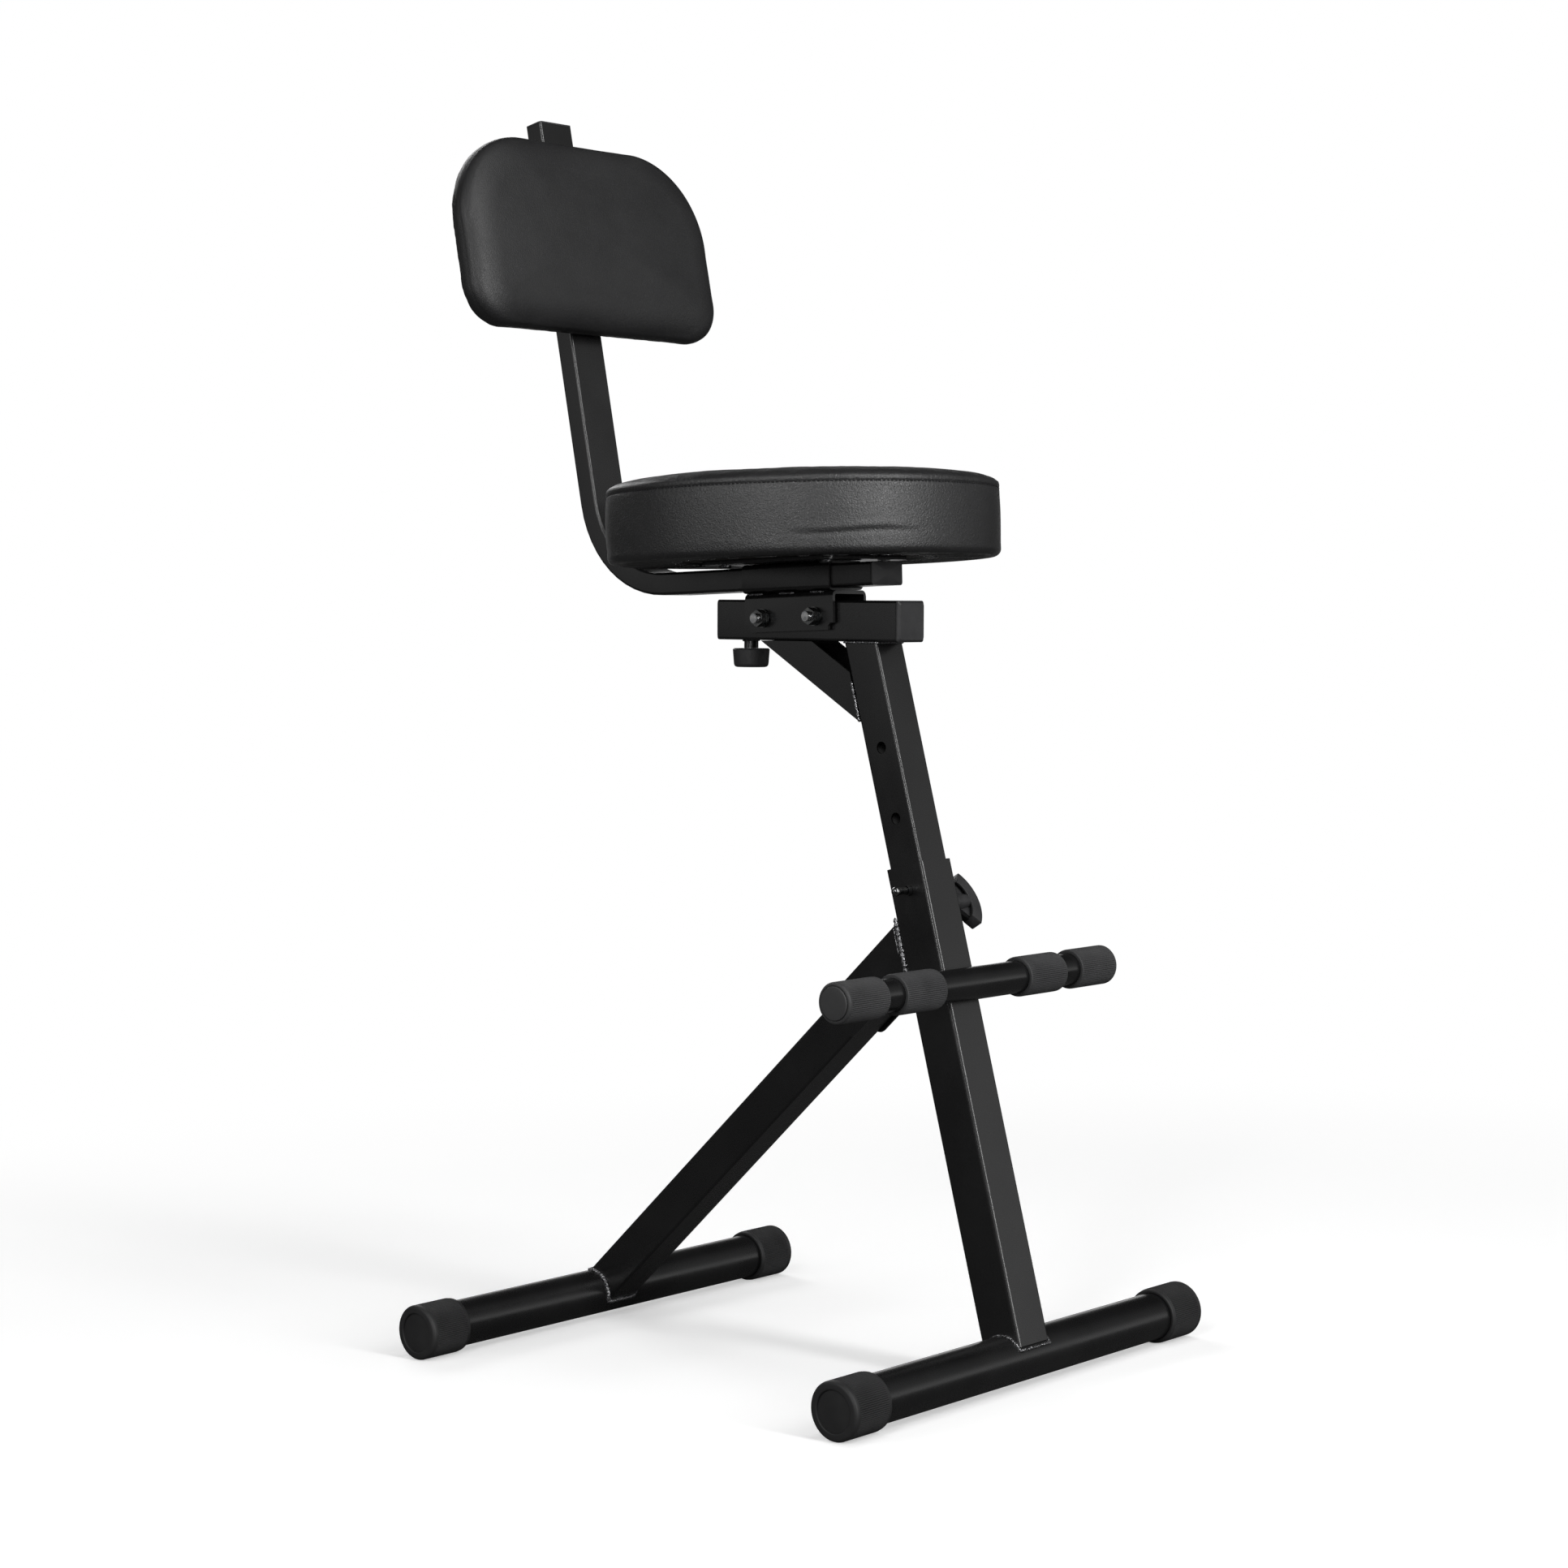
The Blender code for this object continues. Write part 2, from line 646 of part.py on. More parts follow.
def seat_post(post_axis, head_axis):
    """The square post with its height holes, cut level under the head tube, and its glide plug."""
    length = HEAD_LOW_Z / math.cos(LEG_LEAN)
    post = place("seat_post", box_tube(POST_WIDTH, POST_WIDTH, POST_WALL, POST_CORNER, POST_LOW_END, length),
                 "black_powder_coat", post_axis)
    span = HEAD_REAR_Y - HEAD_FRONT_Y
    clear = block((-LEG_WIDTH, LEG_WIDTH), (HEAD_FRONT_Y - span, HEAD_REAR_Y + span), (-WELD_GAP, span))
    combine(post, as_tool(place("post_top_trim", clear, "black_powder_coat", head_axis)))
    heights = [PIN_HEIGHT + HOLE_PITCH * step for step in range(-HOLES_BELOW, HOLES_ABOVE + 1)]
    drills = rods(HOLE_DIA / 2, [(-height, 0) for height in heights], -LEG_WIDTH, LEG_WIDTH)
    combine(post, as_tool(place("height_holes", drills, "black_powder_coat", post_axis, rotation=ALONG_X)))
    bore = POST_WIDTH - 2 * (POST_WALL + PLUG_FIT)
    flange = SLEEVE_BORE - 2 * PLUG_FIT
    low = POST_LOW_END - WELD_GAP
    place("post_glide_plug", plug(flange, flange, bore, bore, PLUG_FLANGE, 0, 0), "black_plastic",
          post_axis, (0, 0, low), DOWN)
    return post


def plug(width, depth, bore_width, bore_depth, flange, chamfer, point):
    """A tube plug: stem below z=0, flange above, with an optional chamfer and a shallow point."""
    corner = HEAD_CORNER
    inner = rounded_box(bore_width, bore_depth, corner / 2)
    outer = rounded_box(width, depth, corner)
    face = rounded_box(width - 2 * chamfer, depth - 2 * chamfer, corner)
    bm = bmesh.new()
    loops = [ring(bm, inner, -PLUG_STEM), ring(bm, inner, 0), ring(bm, outer, 0)]
    loops.append(ring(bm, outer, flange - chamfer))
    if chamfer:
        loops.append(ring(bm, face, flange))
    for low, high in zip(loops, loops[1:]):
        skin(bm, low, high)
    fan(bm, loops[0], (0, 0, -PLUG_STEM))
    fan(bm, loops[-1], (0, 0, flange + point))
    return bm


def head_tube(head_axis, bolt_holes):
    """The tube on the post with its two end caps, drilled for the saddle's bolts and the knob."""
    front = HEAD_FRONT_Y + HEAD_PLUG_FLANGE + WELD_GAP
    rear = HEAD_REAR_Y - HEAD_PLUG_FLANGE - WELD_GAP
    middle = HEAD_WIDTH / 2
    head = place("head_tube", box_tube(HEAD_WIDTH, HEAD_WIDTH, HEAD_WALL, HEAD_CORNER, front, rear),
                 "black_powder_coat", head_axis, (0, 0, middle), ALONG_Y)
    bore = HEAD_WIDTH - 2 * (HEAD_WALL + PLUG_FIT)
    for end, y, turn in (("front", front - WELD_GAP, (math.pi / 2, 0, 0)), ("rear", rear + WELD_GAP, ALONG_Y)):
        stop = plug(HEAD_WIDTH, HEAD_WIDTH, bore, bore, HEAD_PLUG_FLANGE, HEAD_PLUG_CHAMFER, 0)
        place(f"head_{end}_cap", stop, "black_powder_coat", head_axis, (0, y, middle), turn)
    combine(head, bolt_holes)
    stud = rod(SCREW_DIA / 2 + HOLE_FIT, -CUT_OVERRUN, HEAD_WIDTH + CUT_OVERRUN)
    combine(head, as_tool(place("stud_hole", stud, "black_powder_coat", head_axis, (0, DEPTH_KNOB_Y, 0))))


def head_brace(head_axis, post_axis):
    """A channel from under the head tube's rear half down to the post's back, open towards them."""
    half = HEAD_WIDTH / 2
    inside = half - BRACE_WALL
    channel = [(-half, 0), (half, 0), (half, BRACE_DEPTH), (inside, BRACE_DEPTH), (inside, BRACE_WALL),
               (-inside, BRACE_WALL), (-inside, BRACE_DEPTH), (-half, BRACE_DEPTH)]
    span = HEAD_REAR_Y - HEAD_FRONT_Y
    axis = empty("brace_axis", head_axis, (0, BRACE_REAR_Y, 0), (math.pi / 2 + BRACE_FALL, 0, 0))
    brace = place("head_brace", prism(channel, -span / 2, span), "black_powder_coat", axis)
    clear = block((-LEG_WIDTH, LEG_WIDTH), (-span, span), (-WELD_GAP, span))
    combine(brace, as_tool(place("brace_top_trim", clear, "black_powder_coat", head_axis)))
    back = POST_WIDTH / 2 + WELD_GAP
    clear = block((-LEG_WIDTH, LEG_WIDTH), (back - span, back), (0, HEAD_LOW_Z / math.cos(LEG_LEAN)))
    combine(brace, as_tool(place("brace_front_trim", clear, "black_powder_coat", post_axis)))


def saddle_holes(saddle_axis):
    """The cutter for both bolt holes, shared by the saddle and the head tube."""
    places = [(BOLT_DROP, y) for y in (-BOLT_SPACING / 2, BOLT_SPACING / 2)]
    drills = rods(BOLT_DIA / 2 + HOLE_FIT, places, -LEG_WIDTH, LEG_WIDTH)
    return as_tool(place("bolt_holes", drills, "black_powder_coat", saddle_axis, rotation=ALONG_X))


def saddle(saddle_axis, bolt_holes):
    """The inverted U bracket over the head tube, with its two bolts, nuts and washers."""
    inside = HEAD_WIDTH / 2 + SADDLE_SIDE_AIR
    outside = inside + SADDLE_SHEET
    low = -SADDLE_HEIGHT
    top = 0
    inner_top = top - SADDLE_SHEET
    inner_bend = SADDLE_BEND - SADDLE_SHEET
    outline = [(-outside, low), (-inside, low)]
    outline += [(-inside, inner_top - inner_bend)]
    outline += quarter_back(-inside + inner_bend, inner_top - inner_bend, inner_bend, math.pi)
    outline += quarter_back(inside - inner_bend, inner_top - inner_bend, inner_bend, math.pi / 2)
    outline += [(inside, low), (outside, low), (outside, top - SADDLE_BEND)]
    outline += quarter(outside - SADDLE_BEND, top - SADDLE_BEND, SADDLE_BEND, 0, CORNER_STEPS)
    outline += [(-outside + SADDLE_BEND, top)]
    outline += quarter(-outside + SADDLE_BEND, top - SADDLE_BEND, SADDLE_BEND, math.pi / 2, CORNER_STEPS)
    bm = prism([(x, -z) for x, z in outline], -SADDLE_LENGTH / 2, SADDLE_LENGTH / 2)
    corners = [edge for edge in bm.edges if is_saddle_corner(edge)]
    bmesh.ops.bevel(bm, geom=corners, offset=SADDLE_CORNER, segments=CORNER_STEPS, affect="EDGES")
    bracket = place("saddle_bracket", bm, "black_powder_coat", saddle_axis, rotation=ALONG_Y)
    combine(bracket, bolt_holes)
    for end, y in (("front", -BOLT_SPACING / 2), ("rear", BOLT_SPACING / 2)):
        saddle_bolt(end, y, outside, saddle_axis)


def quarter_back(cx, cz, radius, start):
    """Points along a quarter circle, clockwise from a start angle, without the first point."""
    angles = [start - math.pi / 2 * i / CORNER_STEPS for i in range(CORNER_STEPS + 1)]
    return [(cx + radius * math.cos(a), cz + radius * math.sin(a)) for a in angles[1:]]


def is_saddle_corner(edge):
    """True for the short lower edges of the saddle's side walls, before it is turned level."""
    a, b = (v.co for v in edge.verts)
    low = SADDLE_HEIGHT - WELD_GAP
    across = abs(a.y - b.y) < WELD_GAP and abs(a.z - b.z) < WELD_GAP
    return across and a.y > low and abs(a.x - b.x) < 2 * SADDLE_SHEET


def saddle_bolt(end, y, outside, saddle_axis):
    """One through bolt with its head on the far side, and a washer and nut on the near side."""
    axis = empty(f"saddle_bolt_{end}_axis", saddle_axis, (0, y, -BOLT_DROP), ALONG_X)
    head = outside + WELD_GAP
    washer = -outside - WELD_GAP - WASHER_THICK
    nut = washer - WELD_GAP - NUT_HEIGHT
    bm = bmesh.new()
    shank = circle(BOLT_DIA / 2, SMALL_STEPS)
    hexa = hexagon(BOLT_HEAD_ACROSS, SMALL_STEPS)
    loops = [ring(bm, shank, nut - BOLT_TAIL), ring(bm, shank, head), ring(bm, hexa, head),
             ring(bm, hexa, head + BOLT_HEAD_HEIGHT)]
    for low, high in zip(loops, loops[1:]):
        skin(bm, low, high)
    fan(bm, loops[0], (0, 0, nut - BOLT_TAIL))
    fan(bm, loops[-1], (0, 0, head + BOLT_HEAD_HEIGHT))
    place(f"saddle_bolt_{end}", bm, "bright_steel", axis)
    bore = circle(BOLT_DIA / 2 + WELD_GAP, SMALL_STEPS)
    place(f"saddle_nut_{end}", tube(hexa, bore, nut, nut + NUT_HEIGHT), "dark_fastener", axis)
    disc = circle(WASHER_DIA / 2, SMALL_STEPS)
    place(f"saddle_washer_{end}", tube(disc, bore, washer, washer + WASHER_THICK), "bright_steel", axis)


def receiver(saddle_axis):
    """The rectangular sleeve on the saddle that the backrest bar slides in."""
    sleeve = box_tube(RECEIVER_WIDTH, RECEIVER_HEIGHT, RECEIVER_WALL, BAR_CORNER + RECEIVER_WALL,
                      RECEIVER_FRONT_Y, RECEIVER_FRONT_Y + RECEIVER_LENGTH)
    place("bar_receiver", sleeve, "black_powder_coat", saddle_axis, (0, 0, BAR_Z - SADDLE_TOP_Z), ALONG_Y)


# Backrest bar


def bar_path():
    """Centre points and headings of the bar's middle line, front end first, in its Y-Z plane."""
    centre_z = BAR_BEND_RADIUS
    sweep = math.pi / 2 - BAR_TILT
    start = BAR_FRONT_Y + BAR_PLUG_FLANGE + BAR_PLUG_POINT + WELD_GAP
    path = [(start, 0, 0)]
    for i in range(BAR_BEND_STEPS + 1):
        a = sweep * i / BAR_BEND_STEPS
        path.append((BAR_BEND_Y + BAR_BEND_RADIUS * math.sin(a), centre_z - BAR_BEND_RADIUS * math.cos(a), a))
    y, z, a = path[-1]
    path.append((y + BAR_RISE * math.cos(a), z + BAR_RISE * math.sin(a), a))
    return path


def backrest_bar(bar_axis):
    """The bent rectangular bar, from under the seat up behind the pad, with a plug in each end."""
    outer = rounded_box(BAR_WIDTH, BAR_THICK, BAR_CORNER)
    inner = rounded_box(BAR_WIDTH - 2 * BAR_WALL, BAR_THICK - 2 * BAR_WALL, BAR_CORNER - BAR_WALL)
    bm = bmesh.new()
    walls = []
    for outline in (outer, inner):
        loops = []
        for y, z, a in bar_path():
            loops.append([bm.verts.new((u, y - v * math.sin(a), z + v * math.cos(a))) for u, v in outline])
        for low, high in zip(loops, loops[1:]):
            skin(bm, low, high)
        walls.append(loops)
    skin(bm, walls[0][0], walls[1][0])
    skin(bm, walls[0][-1], walls[1][-1])
    place("backrest_bar", bm, "black_powder_coat", bar_axis)
    bore = (BAR_WIDTH - 2 * (BAR_WALL + PLUG_FIT), BAR_THICK - 2 * (BAR_WALL + PLUG_FIT))
    ends = {"front": (bar_path()[0], math.pi / 2), "top": (bar_path()[-1], -math.pi / 2)}
    for end, ((y, z, a), turn) in ends.items():
        stop = plug(BAR_WIDTH, BAR_THICK, *bore, BAR_PLUG_FLANGE, 0, BAR_PLUG_POINT)
        out = WELD_GAP if turn < 0 else -WELD_GAP
        spot = (0, y + out * math.cos(a), z + out * math.sin(a))
        place(f"bar_{end}_plug", stop, "black_plastic", bar_axis, spot, (turn + a, 0, 0))


def knob(diameter, bite):
    """A round clamp knob, its open side up at z=0, bored for its screw."""
    top = diameter / 2
    low = top - KNOB_TAPER
    bore = SCREW_DIA / 2 + WELD_GAP
    profile = [(0, -bite - WELD_GAP), (bore, -bite - WELD_GAP), (bore, 0), (top - KNOB_TAPER, 0),
               (top, -KNOB_TAPER), (low, KNOB_ROUND - KNOB_HEIGHT)]
    centre = (low - KNOB_ROUND, KNOB_ROUND - KNOB_HEIGHT)
    angles = [-math.pi / 2 * i / CORNER_STEPS for i in range(1, CORNER_STEPS + 1)]
    profile += [(centre[0] + KNOB_ROUND * math.cos(a), centre[1] + KNOB_ROUND * math.sin(a)) for a in angles]
    profile += [(0, -KNOB_HEIGHT)]
    return turned(profile, ROUND_STEPS)


def boss(diameter, length):
    """A round weld nut standing on z=0."""
    outer = circle(diameter / 2, SMALL_STEPS)
    bore = circle(SCREW_DIA / 2 + HOLE_FIT, SMALL_STEPS)
    return tube(outer, bore, WELD_GAP, WELD_GAP + length)


def depth_knob(head_axis):
    """The knob under the head tube; its screw runs up through the tube to the bar's underside."""
    place("depth_knob_boss", boss(BOSS_DIA, BOSS_LENGTH), "black_powder_coat", head_axis,
          (0, DEPTH_KNOB_Y, 0), DOWN)
    top = -BOSS_LENGTH - 2 * WELD_GAP
    axis = empty("depth_knob_axis", head_axis, (0, DEPTH_KNOB_Y, top))
    place("depth_knob", knob(KNOB_DIA, KNOB_BITE), "black_plastic", axis)
    bar_low = BAR_Z - BAR_THICK / 2 - HEAD_LOW_Z - DEPTH_KNOB_Y * math.sin(HEAD_TILT)
    reach = (bar_low - WELD_GAP) / math.cos(HEAD_TILT) - SCREW_DIA / 2 * math.tan(HEAD_TILT)
    screw = rod(SCREW_DIA / 2, -KNOB_BITE, reach - top)
    place("depth_knob_screw", screw, "bright_steel", axis)


# Seat


def wood_screw(tip):
    """A pan head screw, head below z=0, shank up to its tip."""
    head = WOOD_SCREW_HEAD_DIA / 2
    shank = WOOD_SCREW_DIA / 2
    rise = WOOD_SCREW_HEAD / 3
    profile = [(0, -WOOD_SCREW_HEAD), (head - rise, -WOOD_SCREW_HEAD), (head, -WOOD_SCREW_HEAD + rise),
               (head, 0), (shank, 0), (shank, tip - shank), (0, tip)]
    return turned(profile, ROUND_STEPS // 2)


def screw_places(spread_x, spread_y):
    """Four places at the corners of a rectangle."""
    return [(sx * spread_x / 2, sy * spread_y / 2) for sy in (-1, 1) for sx in (-1, 1)]


def seat(saddle_axis):
    """The seat's steel plate, plywood board and round cushion, with the four screws."""
    axis = empty("seat_axis", saddle_axis, (0, 0, PLATE_LOW_Z - SADDLE_TOP_Z))
    places = screw_places(SCREW_SPREAD_X, SCREW_SPREAD_Y)
    tip = PLATE_THICK + SEAT_SCREW_GRIP
    drills = rods(WOOD_SCREW_DIA / 2 + WELD_GAP, places, -CUT_OVERRUN, tip + WELD_GAP)
    holes = as_tool(place("seat_screw_holes", drills, "black_powder_coat", axis))
    plate = prism(rounded_box(PLATE_WIDTH, PLATE_LENGTH, PLATE_CORNER), 0, PLATE_THICK)
    combine(place("seat_plate", plate, "black_powder_coat", axis), holes)
    low = PLATE_THICK + WELD_GAP
    board = rod(SEAT_BOARD_DIA / 2, low, low + SEAT_BOARD_THICK, SEAT_STEPS)
    combine(place("seat_board", board, "plywood", axis), holes)
    for number, (x, y) in enumerate(places, 1):
        place(f"seat_screw_{number}", wood_screw(tip), "dark_fastener", axis, (x, y, -WELD_GAP))
    place("seat_cushion", turned(cushion_profile(low), SEAT_STEPS), "faux_leather", axis)


def cushion_profile(board_low):
    """The cushion turned over the board: inner recess, hem, side, seam and crowned top."""
    bore = SEAT_BOARD_DIA / 2 + WELD_GAP
    radius = SEAT_DIA / 2
    low = board_low - SEAT_HEM
    seam = low + SEAT_SIDE
    roof = board_low + SEAT_BOARD_THICK + WELD_GAP
    profile = [(0, roof), (bore, roof), (bore, low), (radius - SEAT_EDGE_ROUND, low)]
    profile += quarter(radius - SEAT_EDGE_ROUND, low + SEAT_EDGE_ROUND, SEAT_EDGE_ROUND, -math.pi / 2,
                       CORNER_STEPS)
    profile += [(radius, seam - SEAT_SEAM_ROUND), (radius - SEAT_SEAM_ROUND, seam)]
    edge = radius - SEAT_SEAM_ROUND
    for i in range(1, SEAT_CROWN_RINGS):
        rise = math.sin(math.pi / 2 * i / SEAT_CROWN_RINGS)
        share = (1 - rise ** 4) ** (1 / 8)
        profile.append((edge * share, seam + SEAT_SHOULDER * rise + SEAT_DOME * (1 - share ** 2)))
    profile.append((0, seam + SEAT_SHOULDER + SEAT_DOME))
    return profile


# Backrest


def pad_outline(inset):
    """The pad's outline drawn in by an inset: wide round upper corners and tight lower ones."""
    radii = (PAD_TOP_RADIUS, PAD_TOP_RADIUS, PAD_LOW_RADIUS, PAD_LOW_RADIUS)
    radii = [max(radius - inset, radius / 4) for radius in radii]
    return rounded_box(PAD_WIDTH - 2 * inset, PAD_HEIGHT - 2 * inset, radii, PAD_ARC_STEPS)


def pad_mesh():
    """The backrest cushion, its front up, hollowed behind for the board."""
    low = -PAD_HEM
    front = PAD_SIDE - PAD_HEM
    roof = PAD_BOARD_THICK + WELD_GAP
    bore = pad_outline(PAD_BOARD_INSET - WELD_GAP)
    bm = bmesh.new()
    loops = [ring(bm, bore, roof), ring(bm, bore, low)]
    for i in range(CORNER_STEPS + 1):
        a = math.pi / 2 * i / CORNER_STEPS
        inset = PAD_REAR_ROUND * (1 - math.sin(a))
        loops.append(ring(bm, pad_outline(inset), low + PAD_REAR_ROUND * (1 - math.cos(a))))
    for i in range(CORNER_STEPS + 1):
        a = math.pi / 2 * i / CORNER_STEPS
        inset = PAD_FRONT_ROUND * (1 - math.cos(a))
        loops.append(ring(bm, pad_outline(inset), front - PAD_FRONT_ROUND * (1 - math.sin(a))))
    edge = pad_outline(PAD_FRONT_ROUND)
    for i in range(1, PAD_CROWN_RINGS):
        share = math.cos(math.pi / 2 * i / PAD_CROWN_RINGS)
        rise = PAD_CROWN * (1 - share ** 2)
        loops.append(ring(bm, [(x * share, y * share) for x, y in edge], front + rise))
    for below, above in zip(loops, loops[1:]):
        skin(bm, below, above)
    fan(bm, loops[0], (0, 0, roof))
    fan(bm, loops[-1], (0, 0, front + PAD_CROWN))
    return bm


def backrest(back_axis):
    """The pad on its board and plate, carried by a slider that a knob clamps to the bar."""
    width = BAR_WIDTH + 2 * (BAR_FIT + SLIDER_WALL)
    depth = BAR_THICK + 2 * (BAR_FIT + SLIDER_WALL)
    half = SLIDER_LENGTH / 2
    slider = place("backrest_slider", box_tube(width, depth, SLIDER_WALL, BAR_CORNER + SLIDER_WALL, -half, half),
                   "black_powder_coat", back_axis)
    hole = rod(SCREW_DIA / 2 + HOLE_FIT, 0, depth)
    combine(slider, as_tool(place("slider_hole", hole, "black_powder_coat", back_axis, rotation=ALONG_Y)))
    face = empty("backrest_face", back_axis, (0, -depth / 2 - WELD_GAP, 0), (math.pi / 2, 0, 0))
    places = screw_places(BACK_SCREW_SPREAD_X, BACK_SCREW_SPREAD_Z)
    tip = PLATE_THICK + BACK_SCREW_GRIP
    drills = rods(WOOD_SCREW_DIA / 2 + WELD_GAP, places, -CUT_OVERRUN, tip + WELD_GAP)
    holes = as_tool(place("back_screw_holes", drills, "black_powder_coat", face))
    plate = prism(rounded_box(BACK_PLATE_WIDTH, BACK_PLATE_HEIGHT, PLATE_CORNER), 0, PLATE_THICK)
    combine(place("backrest_plate", plate, "black_powder_coat", face), holes)
    board_low = PLATE_THICK + WELD_GAP
    board = prism(pad_outline(PAD_BOARD_INSET), board_low, board_low + PAD_BOARD_THICK)
    combine(place("backrest_board", board, "plywood", face), holes)
    for number, (x, y) in enumerate(places, 1):
        place(f"backrest_screw_{number}", wood_screw(tip), "dark_fastener", face, (x, y, -WELD_GAP))
    place("backrest_cushion", pad_mesh(), "faux_leather", face, (0, 0, board_low))
    rear = depth / 2
    place("slider_boss", boss(WELD_NUT_DIA, BACK_NUT_LENGTH), "black_powder_coat", back_axis,
          (0, rear, 0), ALONG_Y)
    out = rear + BACK_NUT_LENGTH + 2 * WELD_GAP
    axis = empty("backrest_knob_axis", back_axis, (0, out, 0), (math.pi / 2, 0, 0))
    place("backrest_knob", knob(BACK_KNOB_DIA, KNOB_BITE), "black_plastic", axis)
    screw = rod(SCREW_DIA / 2, -KNOB_BITE, out - BAR_THICK / 2 - WELD_GAP)
    place("backrest_knob_screw", screw, "bright_steel", axis)


def centre_on_floor(root):
    """Slide the whole stool along Y until the origin lies under the middle of its box."""
    bpy.context.view_layer.update()
    graph = bpy.context.evaluated_depsgraph_get()
    reach = []
    for item in bpy.data.objects:
        if item.type != "MESH" or item.hide_render:
            continue
        solid = item.evaluated_get(graph)
        reach += [(solid.matrix_world @ v.co).y for v in solid.data.vertices]
    root.location.y = -(min(reach) + max(reach)) / 2
    bpy.context.view_layer.update()


def main():
    clear_scene()
    root = empty("stool", None)
    front_foot = foot_bar("front", FRONT_FOOT_Y, root)
    rear_foot = foot_bar("rear", REAR_FOOT_Y, root)
    leg_axis = empty("front_leg_axis", root, (0, FRONT_FOOT_Y, CAP_RADIUS), (-LEG_LEAN, 0, 0))
    front_leg(leg_axis, front_foot)
    rear_leg(root, leg_axis, rear_foot)
    footrest(leg_axis)
    index_pin(leg_axis)
    clamp_handle(leg_axis)
    post_axis = empty("seat_post_axis", leg_axis)
    lean = Matrix.Rotation(LEG_LEAN, 3, "X")
    head_spot = lean @ Vector((0, -FRONT_FOOT_Y, HEAD_LOW_Z - CAP_RADIUS))
    head_axis = empty("head_axis", post_axis, head_spot, (LEG_LEAN + HEAD_TILT, 0, 0))
    saddle_spot = lean @ Vector((0, -FRONT_FOOT_Y, SADDLE_TOP_Z - CAP_RADIUS))
    saddle_axis = empty("saddle_axis", post_axis, saddle_spot, (LEG_LEAN, 0, 0))
    bolt_holes = saddle_holes(saddle_axis)
    seat_post(post_axis, head_axis)
    head_tube(head_axis, bolt_holes)
    head_brace(head_axis, post_axis)
    saddle(saddle_axis, bolt_holes)
    receiver(saddle_axis)
    seat(saddle_axis)
    depth_knob(head_axis)
    bar_axis = empty("backrest_bar_axis", saddle_axis, (0, 0, BAR_Z - SADDLE_TOP_Z))
    backrest_bar(bar_axis)
    bend_y, bend_z, heading = bar_path()[-2]
    spot = (0, bend_y + BACKREST_RISE * math.cos(heading), bend_z + BACKREST_RISE * math.sin(heading))
    backrest(empty("backrest_axis", bar_axis, spot, (-BAR_TILT, 0, 0)))
    centre_on_floor(root)


main()
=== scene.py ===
"""Looks for the guitar stool: materials, ribbed rubber, soft cushions, welds, light, camera."""

import json
import math

import bpy
import numpy as np
from mathutils import Matrix, Vector

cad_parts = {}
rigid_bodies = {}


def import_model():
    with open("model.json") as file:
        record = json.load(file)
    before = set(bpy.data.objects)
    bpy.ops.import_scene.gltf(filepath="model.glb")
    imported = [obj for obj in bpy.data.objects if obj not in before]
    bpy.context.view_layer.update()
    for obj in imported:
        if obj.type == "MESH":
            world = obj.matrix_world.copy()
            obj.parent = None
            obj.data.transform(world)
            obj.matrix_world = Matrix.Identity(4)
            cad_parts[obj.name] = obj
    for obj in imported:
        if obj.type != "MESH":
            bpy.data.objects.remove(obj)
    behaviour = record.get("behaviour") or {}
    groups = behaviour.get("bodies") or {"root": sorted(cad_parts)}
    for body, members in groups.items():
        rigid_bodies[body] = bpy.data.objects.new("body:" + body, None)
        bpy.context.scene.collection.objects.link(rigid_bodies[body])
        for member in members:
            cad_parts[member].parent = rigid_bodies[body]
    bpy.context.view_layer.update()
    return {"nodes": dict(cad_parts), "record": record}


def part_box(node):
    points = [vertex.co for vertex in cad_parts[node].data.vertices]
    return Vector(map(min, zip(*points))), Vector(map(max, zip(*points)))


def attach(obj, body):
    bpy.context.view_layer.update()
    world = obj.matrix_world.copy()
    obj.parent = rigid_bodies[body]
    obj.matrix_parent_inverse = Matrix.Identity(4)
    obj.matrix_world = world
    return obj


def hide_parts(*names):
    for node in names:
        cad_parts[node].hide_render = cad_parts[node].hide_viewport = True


for item in list(bpy.data.objects):
    bpy.data.objects.remove(item, do_unlink=True)
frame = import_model()
TAU = 2 * math.pi

# Where things are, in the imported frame, in metres
ROOT_Y = -0.04204
LEG_SPOT = (0, -0.25704, 0.024)
LEG_LEAN = math.radians(13.2)
REAR_SPOT = (0, 0.22396, 0.024)
REAR_LEAN = math.radians(-49.0)
HEAD_SPOT = (0, ROOT_Y, 0.6203)
HEAD_LEAN = math.radians(-2.2)
FOOTREST_SPOT = (0, -0.21976, 0.33161)
CLAMP_SPOT = (0, -0.17416, 0.39487)
PAD_SPOT = (0, 0.22885, 0.99142)
PAD_LEAN = math.radians(9.5)
TUBE_RADIUS = 0.02025
SIDES = (("right", -1), ("left", 1))


# Materials

NOISE_RANGE = (0.3, 0.7)


